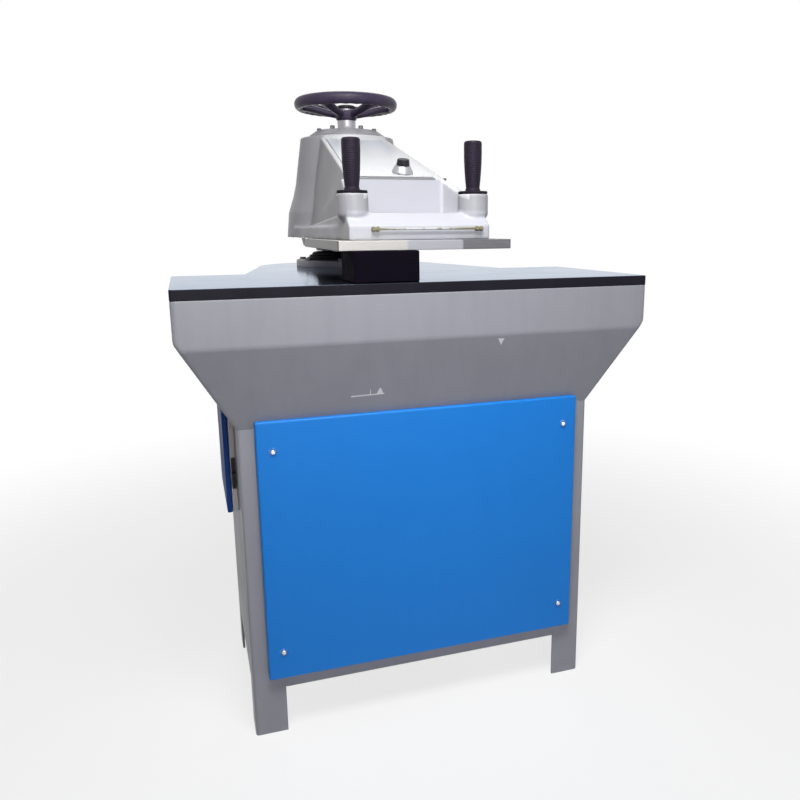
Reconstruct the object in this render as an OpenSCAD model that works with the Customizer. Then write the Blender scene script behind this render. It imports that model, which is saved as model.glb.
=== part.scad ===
// Swing arm cutting press: a floor-standing hydraulic press whose arm swings over a flat table.
// The cabinet's front face looks along -Y, the floor is at Z = 0 and X = 0 is the middle plane.

/* [Table] */
// Width of the table plate
table_w = 900; // [800:10:1000]
// Overhang of the table in front of the cabinet
table_front = 55; // [40:1:80]
// Distance from the cabinet's front to the table's straight rear edge
table_back = 329; // [300:1:360]
// Height of the table's working face
table_h = 885; // [860:1:920]
// Thickness of the black table plate
plate_t = 19; // [14:1:24]
// Height of the casting's upright apron under the plate
apron_h = 71; // [55:1:85]
// Wall of the table casting
casting_wall = 14; // [10:1:18]
// Radius of the round rear lobe that carries the column
lobe_r = 240; // [215:1:270]
// Half width of the lobe where it leaves the table
lobe_half = 300; // [270:1:330]

/* [Cabinet] */
// Width of the cabinet
cab_w = 710; // [660:2:740]
// Depth of the cabinet
cab_d = 400; // [380:2:420]
// Height of the cabinet
cab_h = 626; // [600:1:660]
// Width of a corner post's face
post_w = 63; // [50:1:75]
// Sheet thickness of posts and rails
post_t = 5; // [4:0.5:7]
// Sheet thickness of the walls
wall_t = 3; // [2:0.5:4]
// Height of the free space under the cabinet
floor_gap = 96; // [80:1:120]
// Height of a front rail
rail_h = 60; // [50:1:75]

/* [Front panel] */
// Width of the blue front panel
panel_w = 648; // [610:2:660]
// How far the panel's lower edge lies above the bottom rail's
panel_up = 28; // [16:1:36]
// How far the panel's upper edge laps over the table casting
panel_lap = 15; // [2:1:19]
// How far the panel stands proud of the cabinet
panel_out = 16; // [12:1:20]
// Inset of the panel screws from the sides
screw_side = 30; // [22:1:40]
// Inset of the panel screws from the top and bottom
screw_end = 57; // [45:1:70]

/* [Column] */
// Distance from the cabinet's front to the column's axis
column_back = 640; // [620:1:670]
// Radius of the ram
ram_r = 50; // [45:1:56]
// Stroke of the ram
stroke = 50; // [30:1:60]
// Outer radius of the fixed column tube
tube_r = 72; // [68:1:78]
// Outer radius of the pedestal under the lobe
pedestal_r = 120; // [105:1:140]
// Outer radius of the ring flange on the table
ring_r = 142; // [132:1:155]
// Height of the ring flange
ring_h = 17; // [12:1:20]
// Lower radius of the rubber boot on the ring
boot_r = 116; // [108:1:120]
// Upper radius of the rubber boot
boot_top_r = 92; // [84:1:100]

/* [Arm] */
// Height of the arm casting's underside above the table
arm_gap = 74; // [68:1:85]
// Height of the arm's low front ledge
ledge_h = 26; // [20:1:32]
// Height of the sloping shoulder above the ledge
shoulder_h = 23; // [15:1:28]
// Run of the shoulder's slope behind the ledge's front edge
shoulder_run = 36; // [28:1:44]
// Distance from the cabinet's front to the ledge's front face
ledge_front = 3; // [-5:1:15]
// Half width of the ledge at its front
ledge_half = 137; // [130:1:145]
// Lower radius of the flared hub
hub_low_r = 162; // [152:1:170]
// Upper radius of the flared hub
hub_top_r = 118; // [112:1:124]
// Height of the hub's upper face above the arm's underside
hub_h = 245; // [232:1:256]
// Distance from the cabinet's front to the tower's front face
tower_front = 172; // [160:1:185]
// Height of the sloping roof at the tower's front face, above the arm's underside
roof_h = 122; // [112:1:131]
// Half width of the roof at the tower's front face
roof_half = 102; // [96:1:106]
// Half width of the tower's foot at its front face
tower_half = 108; // [104:1:116]
// Half width of the roof at the hub
roof_top_half = 82; // [76:1:90]
// Thickness of the tower's walls
arm_wall = 14; // [10:1:18]
// Thickness of the ribs that run to the handle bosses
rib_t = 16; // [12:1:20]
// Lower radius of the hub's bearing flange
bearing_r = 127; // [120:1:135]
// Thickness of the bearing flange
bearing_h = 22; // [18:1:24]
// Radius of the bearing flange's nose
nose_r = 90; // [84:1:96]
// Height of the nose
nose_h = 12; // [8:1:14]
// Range of the height adjustment
adjust = 40; // [20:1:50]

/* [Striking plate] */
// Width of the striking plate
strike_w = 330; // [300:2:350]
// Depth of the striking plate
strike_d = 380; // [340:2:400]
// Thickness of the striking plate
strike_t = 17.5; // [14:0.5:22]
// How far the plate's front stands before the ledge
strike_out = 36; // [20:1:45]

/* [Handles] */
// Distance of a handle from the middle plane
handle_x = 119; // [112:1:124]
// Distance from the cabinet's front to the handles
handle_back = 49; // [40:1:56]
// Radius of a handle boss
boss_r = 29.5; // [26:0.5:33]
// Height of a boss's upper face above the arm's underside
boss_h = 85; // [78:1:93]
// Thickness of the black collar under a grip
collar_t = 5; // [3:0.5:7]
// Length of a grip
grip_l = 93; // [85:1:100]
// Radius of a grip at its foot
grip_foot_r = 12.5; // [11.5:0.5:14]
// Radius of a grip at its head
grip_head_r = 18; // [16:0.5:20]
// Radius of the push button in a grip's head
button_r = 9; // [7:0.5:10]
// Travel of a push button
button_travel = 4; // [2:0.5:5]

/* [Handwheel] */
// Outer radius of the handwheel
wheel_r = 130; // [115:1:140]
// Radius of the rim's round section
rim_r = 12; // [9:0.5:14]
// Height of the rim's middle above the underside of the wheel's hub
rim_rise = 40; // [30:1:50]
// Radius of the wheel's hub
wheel_hub_r = 28; // [25:1:32]
// Number of spokes
spokes = 5; // [3:1:6]
// Lower radius of the round cap on the hub
cap_r = 97; // [90:1:102]
// Upper radius of the cap
cap_top_r = 78; // [74:1:82]
// Thickness of the cap
cap_h = 25; // [20:1:28]
// Radius of the adjusting screw
screw_r = 15; // [12:0.5:18]
// Radius of the screw's thrust collar
thrust_r = 23; // [20:0.5:26]

/* [Controls] */
// Radius of the depth knob's metal base
knob_base_r = 22; // [19:0.5:25]
// Height of the metal base
knob_base_h = 16; // [10:0.5:18]
// Radius of the depth knob
knob_r = 14; // [11:0.5:16]
// Height of the depth knob
knob_h = 12; // [9:0.5:16]
// Depth of the control box on the left wall
box_out = 11; // [8:1:16]
// Height of the control box
box_h = 184; // [160:1:200]
// Length of the control box along the wall
box_l = 220; // [180:1:240]
// Thickness of the control box's door
door_t = 10; // [6:0.5:12]

/* [Rest block] */
// Width of the block that the arm is parked on
block_w = 122; // [100:1:135]
// Depth of the block
block_d = 110; // [80:1:130]

/* [Hidden] */
$fn = 96;
// Radial clearance of a running fit
run = 0.05;
// Gap between faces that pass one another
gap = 0.5;
// Gap round a piece that only has to drop into its place
drop = 1;

depth = table_front + column_back + lobe_r;
front_y = table_front - depth / 2;
column_y = front_y + column_back;
casting_top = table_h - plate_t;
fold_z = casting_top - apron_h;
panel_low = floor_gap + panel_up;
panel_top = cab_h + panel_lap;
arm_low = table_h + arm_gap;
hub_top = arm_low + hub_h;
roof_low = arm_low + roof_h;
boss_top = arm_low + boss_h;
tube_bore = ram_r + run;
piston_r = ram_r + 6;
piston_l = 60;
seal_h = 12;
guide_h = 90;
tube_z = 20;
plug_h = 30;
plug_floor = 10;
port_r = 20;
lip_gap = 0.3;
floor_lip = 60;
web_x = 60;
web_t = 10;
foot_t = 14;
foot_rim = 40;
anchors = 4;
anchor_r = 7;
anchor_pcd = 2 * pedestal_r + foot_rim;
ring_top = table_h + ring_h;
ring_edge = 4;
nose_z = arm_low - bearing_h - nose_h;
boot_h = nose_z - ring_top - 3;
sleeve_r = ram_r + 12;
sleeve_low = nose_z + 2;
sleeve_top = hub_top - adjust - 6;
ram_top = sleeve_top - 8;
ram_low = 240;
strike_low = arm_low - strike_t;
cap_shelf = 70;
roof_end = column_back - cap_shelf;
roof_high = hub_top - 2;
roof_slope = (roof_high - roof_low) / (roof_end - tower_front);
roof_deg = atan(roof_slope);
cap_z = hub_top;
thrust_z = cap_z + cap_h;
thrust_h = 21;
wheel_hub_low = thrust_z + thrust_h;
wheel_hub_h = 22;
wheel_z = wheel_hub_low + rim_rise;
spoke_turn = 11;
spoke_up = 12;
spoke_hub_r = 9;
spoke_rim_r = 8;
nut_r = 25;
nut_flange = 5;
nut_h = 14;
nut_in = 9;
screw_in = 100;
screw_room = 50;
knob_at = [20, tower_front + 25];
knob_stem = 5;
knob_stem_r = 3;
socket_r = 8;
socket_h = 60;
root_h = 40;
grip_flare = 1.5;
rib_drop = 12;
rib_in = 4;
rib_tail = 60;
conduit_r = 3;
conduit_x = [-84, 108];
union_r = 6;
union_l = 24;
cover_t = 3;
cover_l = 372;
cover_in = 22;
cover_clear = 6;
cover_half = roof_half - cover_in;
cover_draw = (roof_half - roof_top_half) / (roof_end - tower_front);
bolt_r = 5;
cover_bolt_r = 3.5;
cap_bolts = 6;
cap_bolt_r = 3;
cap_bolt_in = 8;
cap_bolt_turn = 48;
cap_head_r = 5.8;
cap_head_h = 8;
ring_bolts = 8;
box_z = cab_h - box_h - 2;
door_lap = 14;
door_edge = [2, 3];
hinge_in = 12;
knuckle_l = 46;
box_y = 30;
hinge_r = 3;
switch_up = 46;
switch_h = 62;
lever = [10, 5];
switch_w = 8;
switch_t = 3;
cheek_t = 1.2;
lever_r = 3.5;
lever_gap = 0.3;
cable_at = [40, 60];
cable_r = 12;
slots = 9;
slot = [8, 90];
slot_pitch = 28;
slot_up = 150;
block_in = 20;
block_side = 16;
tank = [360, 250, 190];
tank_at = [-240, 80];
tank_wall = 4;
filler_r = 20;
filler_at = [300, 40];
filler_h = 16;
tray_t = 4;
tank_top = floor_gap + tray_t + tank[2];
motor_r = 80;
motor_l = 210;
fin = [8, 4];
fins = 12;
fin_in = 12;
shell = 6;
end_t = 6;
motor_in = 130;
motor_y = tank_at[1] + motor_in;
motor_x = -150;
motor_z = tank_top + 12 + motor_r;
motor_foot = [20, 120, 60];
motor_foot_x = [-70, 50];
shaft_r = 12;
rotor_in = 40;
coupling_r = 26;
coupling_l = 36;
bell_l = 64;
bell_r = 40;
bell_wall = 10;
pump_l = 90;
pump_w = 80;
hose_r = 9;
port_h = 20;
valve = [90, 80, 70];
solenoid = [50, 40, 60];
solenoid_in = 20;
pump_x = motor_x + motor_l / 2 + bell_l;

module at_front(y = 0, z = 0) { translate([0, front_y + y, z]) children(); }
module at_column(z = 0) { translate([0, column_y, z]) children(); }
module both_sides() { children(); mirror([1, 0, 0]) children(); }

// A tube along Z from 0 to h
module tube(r, bore, h) {
  difference() {
    cylinder(r = r, h = h);
    translate([0, 0, -1]) cylinder(r = bore, h = h + 2);
  }
}

// A hexagon head bolt or a socket screw with its shank below Z = 0
module bolt(r, head, head_h, shank, sides = 6) {
  cylinder(r = head, h = head_h, $fn = sides);
  translate([0, 0, -shank]) cylinder(r = r, h = shank + 0.01);
}

module ring_of(count, radius, start = 0) {
  for (i = [0 : count - 1]) rotate(start + i * 360 / count) translate([radius, 0, 0]) children();
}

// Plan of the table: a rectangle with tangent sides running back to the round lobe
module table_plan(inset = 0) {
  half = table_w / 2 - inset;
  difference() {
    union() {
      translate([-half, -table_front + inset]) square([2 * half, table_front + table_back - 2 * inset]);
      polygon([[-lobe_half + inset, table_back - inset - 1], [lobe_half - inset, table_back - inset - 1],
               [lobe_r - inset, column_back], [-lobe_r + inset, column_back]]);
      translate([0, column_back]) circle(r = lobe_r - inset);
    }
    if (inset == 0) translate([0, column_back]) circle(r = tube_r + drop);
  }
}

module table_plate() {
  color("#1b1c20") at_front(0, casting_top) linear_extrude(plate_t) table_plan();
}

// The flared part of the table casting, drawn in by t on its sides
module flare(t) {
  hull() {
    translate([-cab_w / 2 + t, t, cab_h]) cube([cab_w - 2 * t, cab_d - 2 * t, 0.1]);
    translate([-table_w / 2 + t, -table_front + t, fold_z - 0.1])
      cube([table_w - 2 * t, table_front + table_back - 2 * t, 0.1]);
  }
}

module table_casting() {
  color("#9a9ca3") at_front() difference() {
    union() {
      flare(0);
      translate([0, 0, fold_z]) linear_extrude(apron_h) difference() {
        table_plan();
        table_plan(casting_wall);
      }
      translate([0, column_back, fold_z]) tube(pedestal_r, tube_r + drop, apron_h);
      translate([0, 0, fold_z]) linear_extrude(casting_wall) difference() {
        table_plan();
        translate([-cab_w / 2 + casting_wall, casting_wall])
          square([cab_w - 2 * casting_wall, table_back - floor_lip]);
      }
    }
    translate([0, 0, -0.05]) flare(casting_wall);
    translate([0, 0, cab_h - 1]) linear_extrude(2)
      translate([-cab_w / 2 + casting_wall, casting_wall])
      square([cab_w - 2 * casting_wall, cab_d - 2 * casting_wall]);
  }
}

// An angle post: two legs of sheet that meet at the outer corner
module post(left, front) {
  color("#8f9198") mirror([left ? 0 : 1, 0, 0]) at_front(front ? 0 : cab_d)
    mirror([0, front ? 0 : 1, 0]) translate([-cab_w / 2, 0, 0]) {
      cube([post_w, post_t, cab_h]);
      translate([0, post_t, 0]) cube([post_t, post_w - post_t, cab_h]);
    }
}

module front_left_post() { post(true, true); }
module front_right_post() { post(false, true); }
module rear_left_post() { post(true, false); }
module rear_right_post() { post(false, false); }

module rail(z, h) {
  color("#8f9198") at_front(0, z) translate([-cab_w / 2 + post_w, 0, 0])
    cube([cab_w - 2 * post_w, post_t, h]);
}

module top_rail() { rail(cab_h - rail_h, rail_h); }
module bottom_rail() { rail(floor_gap, rail_h); }

module wall(left) {
  color("#8f9198") mirror([left ? 0 : 1, 0, 0]) at_front(post_w, floor_gap)
    translate([-cab_w / 2, 0, 0]) cube([wall_t, cab_d - 2 * post_w, cab_h - floor_gap]);
}

module left_wall() {
  difference() {
    wall(true);
    at_front(post_w + box_y + cable_at[0], box_z + cable_at[1]) translate([-cab_w / 2 - 1, 0, 0])
      rotate([0, 90, 0]) cylinder(r = cable_r, h = wall_t + 2);
  }
}

module right_wall() { wall(false); }

// Sheet back with rows of upright cooling slots
module rear_panel() {
  inner = cab_w - 2 * post_w;
  color("#8f9198") at_front(cab_d - wall_t, floor_gap) difference() {
    translate([-inner / 2, 0, 0]) cube([inner, wall_t, cab_h - floor_gap]);
    for (i = [0 : slots - 1]) translate([(i - (slots - 1) / 2) * slot_pitch - slot[0] / 2, -1, slot_up])
      cube([slot[0], wall_t + 2, slot[1]]);
  }
}

module base_tray() {
  inset = post_w + drop;
  color("#6f7178") at_front(0, floor_gap) translate([-cab_w / 2 + wall_t, inset, 0])
    cube([cab_w - 2 * wall_t, cab_d - 2 * inset, tray_t]);
}

// A shallow folded tray with its open side to the cabinet
module front_panel() {
  h = panel_top - panel_low;
  slope_y = table_front * (panel_top - cab_h) / (fold_z - cab_h);
  color("#1f6fc4") at_front(-panel_out, panel_low) difference() {
    translate([-panel_w / 2, 0, 0]) cube([panel_w, panel_out, h]);
    translate([-panel_w / 2 + wall_t, wall_t, wall_t])
      cube([panel_w - 2 * wall_t, panel_out, h - 2 * wall_t]);
    translate([-panel_w, panel_out - slope_y - 1, cab_h - panel_low - 2]) cube([2 * panel_w, panel_out, h]);
    panel_screw_places() cylinder(r = bolt_r, h = 2 * panel_out, center = true);
  }
}

module panel_screw_places() {
  for (x = [-1, 1], z = [screw_end, panel_top - panel_low - screw_end])
    translate([x * (panel_w / 2 - screw_side), 0, z]) rotate([90, 0, 0]) children();
}

module panel_screws() {
  color("#d8dadd") at_front(-panel_out, panel_low) panel_screw_places() {
    difference() {
      cylinder(r1 = 8, r2 = 5.5, h = 3.5);
      translate([-4, -0.6, 2.2]) cube([8, 1.2, 2]);
    }
    translate([0, 0, -panel_out]) cylinder(r = bolt_r - run, h = panel_out);
  }
}

module pedestal() {
  color("#8f9198") at_column() {
    tube(pedestal_r, tube_r + drop + casting_wall, fold_z);
    difference() {
      tube(pedestal_r + foot_rim, pedestal_r, foot_t);
      ring_of(anchors, anchor_pcd / 2, 45) translate([0, 0, -1]) cylinder(r = anchor_r, h = foot_t + 2);
    }
    tube(pedestal_r - 1, 2 * port_r, tube_z);
    for (side = [-1, 1]) translate([side * web_x - web_t / 2, -column_back + cab_d, floor_gap])
      cube([web_t, column_back - cab_d - sqrt(pow(pedestal_r, 2) - pow(web_x + web_t, 2)),
            fold_z - floor_gap - floor_lip]);
  }
}

module column_tube() {
  color("#74767c") at_column(tube_z) tube(tube_r, piston_r + 2 * run, table_h - tube_z);
}

module tube_cap() {
  color("#5b5d63") at_column(tube_z) difference() {
    cylinder(r = piston_r + 2 * run, h = plug_h);
    translate([0, 0, plug_floor]) cylinder(r = port_r, h = plug_h);
  }
}

// Bronze bush in the tube: it guides the ram, and the piston stops against it at the end of the stroke
module guide_bush() {
  color("#a8834e") at_column(ram_low + seal_h + stroke + gap) tube(piston_r + 2 * run, tube_bore, guide_h);
}

module ring_flange() {
  color("#a6a3a6") at_column(table_h) difference() {
    rotate_extrude() polygon([[tube_bore, 0], [ring_r, 0], [ring_r, ring_h - ring_edge],
                              [ring_r - ring_edge, ring_h],
                              [tube_bore, ring_h]]);
    ring_bolt_places() translate([0, 0, -1]) cylinder(r = bolt_r, h = ring_h + 2);
  }
}

module ring_bolt_places() { ring_of(ring_bolts, (ring_r + boot_r) / 2, 180 / ring_bolts) children(); }

module ring_bolts() {
  color("#3a3b40") at_column(ring_top) ring_bolt_places() bolt(bolt_r - run, 8, 5, ring_h, 96);
}

// Rubber boot with three lips that wipes the ram
module wiper_boot() {
  step = (boot_r - boot_top_r) / 3;
  rise = boot_h / 3;
  color("#151518") at_column(ring_top) rotate_extrude() polygon([
    [ram_r + lip_gap, 0], [boot_r, 0],
    for (i = [0 : 2]) each [[boot_r - i * step, (i + 0.55) * rise],
                            [boot_r - (i + 1) * step, (i + 1) * rise]],
    [ram_r + lip_gap, boot_h]]);
}

module rest_block() {
  color("#17161a") at_front(-table_front + block_in, table_h) translate([-block_w - block_side, 0, 0])
    cube([block_w, block_d, strike_low - table_h - gap]);
}

module at_tank(z) { at_front(tank_at[1], z) translate([tank_at[0], 0, 0]) children(); }

module oil_tank() {
  color("#5f6672") at_tank(floor_gap + tray_t) difference() {
    cube(tank);
    translate([tank_wall, tank_wall, tank_wall]) cube([for (side = tank) side - 2 * tank_wall]);
    translate([filler_at[0], filler_at[1], tank[2] - tank_wall - 1])
      cylinder(r = filler_r, h = tank_wall + 2);
  }
}

// Motor axis along X; the motor drives the pump through a bell housing
module at_motor(x = 0) {
  at_front(motor_y, motor_z) translate([motor_x + x, 0, 0]) rotate([0, 90, 0]) children();
}

module motor_body() {
  color("#3f6f9c") at_motor(-motor_l / 2) difference() {
    union() {
      cylinder(r = motor_r - fin[0], h = motor_l);
      ring_of(fins, motor_r - fin[0] - 1, 180 / fins) translate([0, -fin[1] / 2, fin_in])
        cube([fin[0], fin[1], motor_l - 2 * fin_in]);
    }
    translate([0, 0, end_t]) cylinder(r = motor_r - fin[0] - shell, h = motor_l - 2 * end_t);
    translate([0, 0, motor_l - end_t - 1]) cylinder(r = shaft_r + run, h = end_t + 2);
  }
}

module motor_feet() {
  long = motor_foot[0] + 2;
  slack = fin[1] + gap;
  color("#2f3238") for (x = motor_foot_x)
    at_front(motor_y, tank_top) translate([motor_x + x, 0, 0]) difference() {
      translate([0, -motor_foot[1] / 2, 0]) cube(motor_foot);
      translate([-1, 0, motor_z - tank_top]) rotate([0, 90, 0]) {
        cylinder(r = motor_r - fin[0], h = long);
        ring_of(fins, motor_r - fin[0] - 2, 180 / fins) translate([0, -slack / 2, 0])
          cube([2 * fin[0], slack, long]);
      }
    }
}

// Rotor, shaft and coupling turn as one
module motor_shaft() {
  color("#b9bcc2") at_motor(-motor_l / 2) {
    translate([0, 0, end_t + 2]) cylinder(r = shaft_r, h = motor_l + bell_l - 2 * end_t - 2);
    translate([0, 0, rotor_in]) tube(motor_r - fin[0] - shell - bell_wall, shaft_r, motor_l - 2 * rotor_in);
    translate([0, 0, motor_l + (bell_l - coupling_l) / 2]) tube(coupling_r, shaft_r, coupling_l);
  }
}

module bell_housing() {
  color("#8a8d93") at_motor(motor_l / 2) {
    tube(motor_r - fin[0] - shell, bell_r - bell_wall, end_t);
    translate([0, 0, end_t]) tube(bell_r, bell_r - bell_wall, bell_l - 2 * end_t);
    translate([0, 0, bell_l - end_t]) tube(bell_r + bell_wall, shaft_r + run, end_t);
  }
}

module gear_pump() {
  color("#9c9fa6") at_motor(motor_l / 2 + bell_l) difference() {
    translate([-pump_w / 2, -pump_w / 2, 0]) cube([pump_w, pump_w, pump_l]);
    translate([-pump_w / 2 - 1, 0, pump_l / 2]) rotate([0, 90, 0]) cylinder(r = hose_r, h = port_h + 1);
  }
}

module valve_block() {
  color("#6a6d74") at_front(motor_y, motor_z + pump_w / 2 + port_h) translate([pump_x, -valve[1] / 2, 0]) {
    difference() {
      cube(valve);
      translate([pump_l / 2, valve[1] / 2, -1]) cylinder(r = hose_r, h = port_h + 1);
    }
    translate([solenoid_in, solenoid_in, valve[2]]) cube(solenoid);
  }
}

// Straight pipe from the pump's top port to the valve block
module pressure_pipe() {
  color("#c7c9ce") at_front(motor_y, motor_z + pump_w / 2 - port_h)
    translate([pump_x + pump_l / 2, 0, 0]) cylinder(r = hose_r, h = 3 * port_h);
}

module filler_cap() {
  color("#1d1d20") at_tank(tank_top) translate([filler_at[0], filler_at[1], 0]) {
    cylinder(r = 1.4 * filler_r, h = filler_h, $fn = 12);
    translate([0, 0, -tank_wall]) cylinder(r = filler_r - run, h = tank_wall + 0.01);
  }
}

// Side box: an open tray on the wall, closed by a door on its rear hinge
module at_box() { at_front(post_w + box_y, box_z) translate([-cab_w / 2, 0, 0]) children(); }

module control_box() {
  color("#a7a4a0") at_box() difference() {
    translate([-box_out, 0, 0]) cube([box_out, box_l, box_h]);
    translate([-box_out - 1, wall_t, wall_t])
      cube([box_out + 1 - wall_t, box_l - 2 * wall_t, box_h - 2 * wall_t]);
    translate([-wall_t - 1, cable_at[0], cable_at[1]]) rotate([0, 90, 0])
      cylinder(r = cable_r, h = wall_t + 2);
  }
}

module box_door() {
  color("#1e5fb4") at_box() difference() {
    union() {
      translate([-box_out - gap - door_t, -door_edge[0], -door_edge[1]])
        cube([door_t, box_l + door_edge[0], box_h + door_edge[1] + door_lap]);
      for (z = [hinge_in, box_h - hinge_in - knuckle_l]) at_hinge(z) cylinder(r = door_t / 2, h = knuckle_l);
    }
    at_hinge(-1) cylinder(r = hinge_r + run, h = box_h + 2);
  }
}

module at_hinge(z) { translate([-box_out - gap - door_t / 2, box_l + hinge_r + gap, z]) children(); }

module box_hinge() {
  low = hinge_in + knuckle_l + gap;
  color("#6f7178") at_box() {
    at_hinge(hinge_in) cylinder(r = hinge_r, h = box_h - 2 * hinge_in);
    at_hinge(low) translate([0, -hinge_r, 0])
      cube([box_out + gap + door_t / 2, 2 * hinge_r, box_h - 2 * low]);
  }
}

// Upright switch on the box's front side, with a lever that tips between two cheeks
module at_switch() { at_box() translate([-box_out / 2, 0, switch_up]) children(); }

module switch_plate() {
  color("#111114") at_switch() {
    translate([-switch_w / 2, -switch_t, 0]) cube([switch_w, switch_t, switch_h]);
    both_sides() translate([switch_w / 2 - cheek_t, -switch_t - 2 * lever_r, switch_h / 2 - lever_r])
      cube([cheek_t, 2 * lever_r + 0.01, 2 * lever_r]);
  }
}

module switch_lever() {
  length = switch_w - 2 * cheek_t - 2 * lever_gap;
  color("#26262a") at_switch() translate([0, -switch_t - lever_r - lever_gap, switch_h / 2]) {
    rotate([0, 90, 0]) cylinder(r = lever_r, h = length, center = true);
    translate([-length / 2, -lever[0], -lever[1] / 2]) cube([length, lever[0], lever[1]]);
  }
}

module ram() {
  color("#cfd2d6") at_column() difference() {
    translate([0, 0, ram_low]) cylinder(r = ram_r, h = ram_top - ram_low);
    translate([0, 0, ram_top - screw_in - screw_room])
      cylinder(r = screw_r + run, h = screw_in + screw_room + 1);
  }
}

module piston() { color("#7b7e85") at_column(ram_low - piston_l) tube(piston_r, port_r, piston_l); }

module piston_ring() { color("#2a2a2e") at_column(ram_low) tube(piston_r, ram_r, seal_h); }

module pivot_sleeve() {
  color("#b08d57") at_column(sleeve_low) tube(sleeve_r, ram_r + run, sleeve_top - sleeve_low);
}

function roof_z(y) = roof_low + (y - tower_front) * roof_slope;

// Wedge tower: its roof falls to the front, its sides lean out to the foot, drawn in by t
module tower(t) {
  foot = arm_low + (t > 0 ? -1 : 0);
  rear = column_back - 20;
  low_half = tower_half - t;
  hull() {
    translate([0, tower_front + t, foot]) linear_extrude(0.1)
      polygon([[-low_half, 0], [low_half, 0], [hub_top_r + 8 - t, rear - tower_front - t],
               [-hub_top_r - 8 + t, rear - tower_front - t]]);
    translate([t - roof_half, tower_front + t, roof_low - t - 0.1]) cube([2 * (roof_half - t), 0.1, 0.1]);
    for (y = [roof_end, rear - t]) translate([t - roof_top_half, y, roof_high - t - 0.1])
      cube([2 * (roof_top_half - t), 0.1, 0.1]);
  }
}

module arm_ledge() {
  linear_extrude(ledge_h) {
    polygon([[-ledge_half, ledge_front], [ledge_half, ledge_front], [hub_low_r - 6, column_back - 50],
             [-hub_low_r + 6, column_back - 50]]);
  }
}

// Slope that rises from the ledge's front edge to the bosses and runs out along the tower's foot
module shoulder() {
  low = arm_low + ledge_h - 0.1;
  hull() {
    translate([-ledge_half, ledge_front, low]) cube([2 * ledge_half, 0.1, 0.1]);
    translate([-ledge_half, ledge_front + shoulder_run, low])
      cube([2 * ledge_half, boss_r, shoulder_h + 0.1]);
    translate([-ledge_half, column_back - hub_low_r, low]) cube([2 * ledge_half, 0.1, 0.1]);
  }
}

// Rib that falls from the tower's corner to a handle boss
module rib() {
  hull() {
    translate([handle_x - rib_t / 2, handle_back, arm_low]) cube([rib_t, 0.1, boss_h - rib_drop]);
    translate([roof_half - rib_in, tower_front + rib_in, arm_low]) cube([rib_t, 0.1, roof_h - rib_in]);
    translate([roof_half - 2.5 * rib_in, tower_front + rib_tail, arm_low]) cube([2, 0.1, roof_h - rib_in]);
  }
}

module hub_profile() {
  h = hub_top - arm_low;
  polygon([[0, 0], [hub_low_r, 0], [hub_low_r - 6, 0.25 * h], [hub_low_r - 19, 0.41 * h],
           [hub_top_r + 17, 0.54 * h], [hub_top_r, h], [0, h]]);
}

module arm_casting() {
  color("#b4b5b9") at_front() difference() {
    union() {
      translate([0, 0, arm_low]) arm_ledge();
      tower(0);
      shoulder();
      both_sides() rib();
      translate([0, column_back, arm_low]) rotate_extrude() hub_profile();
      both_sides() translate([handle_x, handle_back, arm_low]) cylinder(r = boss_r, h = boss_top - arm_low);
    }
    difference() {
      tower(arm_wall);
      translate([0, column_back, arm_low - 2]) cylinder(r = sleeve_r + arm_wall, h = hub_top - arm_low);
    }
    translate([0, column_back, arm_low - 1]) cylinder(r = sleeve_r + run, h = hub_top - arm_low + 2);
    both_sides() translate([handle_x, handle_back, boss_top - socket_h])
      cylinder(r = socket_r, h = socket_h + 1);
  }
}

module bearing_flange() {
  color("#9b989a") at_column(nose_z) difference() {
    union() {
      cylinder(r = nose_r, h = nose_h + 0.01);
      translate([0, 0, nose_h]) cylinder(r1 = bearing_r - 5, r2 = bearing_r, h = bearing_h);
    }
    translate([0, 0, -1]) cylinder(r = sleeve_r + run, h = nose_h + bearing_h + 2);
  }
}

// Bare sheet on the sloping roof, cut away round the hub
module at_roof(y) { at_front(y, roof_z(y)) rotate([roof_deg, 0, 0]) children(); }

module cover_plan(inset) {
  top_half = cover_half - cover_l * cover_draw;
  polygon([[-cover_half + inset, inset], [cover_half - inset, inset], [top_half - inset, cover_l - inset],
           [-top_half + inset, cover_l - inset]]);
}

module cover_screw_places() {
  for (x = [-1, 1], y = [14, cover_l - 40])
    translate([x * (cover_half - 12 - y * cover_draw), y, 0]) children();
}

module roof_cover() {
  color("#dcdde0") difference() {
    at_roof(tower_front) difference() {
      translate([0, 2, 0.1]) linear_extrude(cover_t) cover_plan(0);
      translate([0, 2, 0]) cover_screw_places() cylinder(r = cover_bolt_r, h = 10);
    }
    at_column(roof_low) cylinder(r = hub_top_r + cover_clear, h = hub_top - roof_low + 10);
  }
}

module cover_screws() {
  color("#6e7076") at_roof(tower_front) translate([0, 2, 0.1]) cover_screw_places() {
    cylinder(r = cover_bolt_r - run, h = cover_t + 0.01);
    translate([0, 0, cover_t]) cylinder(r1 = 6, r2 = 4.5, h = 3);
  }
}

module hub_cap() {
  color("#aeb0b6") at_column(cap_z) difference() {
    rotate_extrude() polygon([[screw_r + run, 0], [cap_r, 0], [cap_r, 7], [cap_top_r, cap_h],
                              [screw_r + run, cap_h]]);
    cap_bolt_places() translate([0, 0, -1]) cylinder(r = cap_bolt_r, h = cap_h + 2);
  }
}

module cap_bolt_places() { ring_of(cap_bolts, cap_top_r - cap_bolt_in, cap_bolt_turn) children(); }

module cap_bolts() {
  color("#3a3b40") at_column(cap_z + cap_h) cap_bolt_places()
    bolt(cap_bolt_r - run, cap_head_r, cap_head_h, cap_h);
}

module strike_screw_places() {
  for (x = [-1, 1], y = [60, strike_d - 60]) translate([x * (strike_w / 2 - 60), y, 0]) children();
}

module at_strike() { at_front(ledge_front - strike_out, strike_low) children(); }

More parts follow.
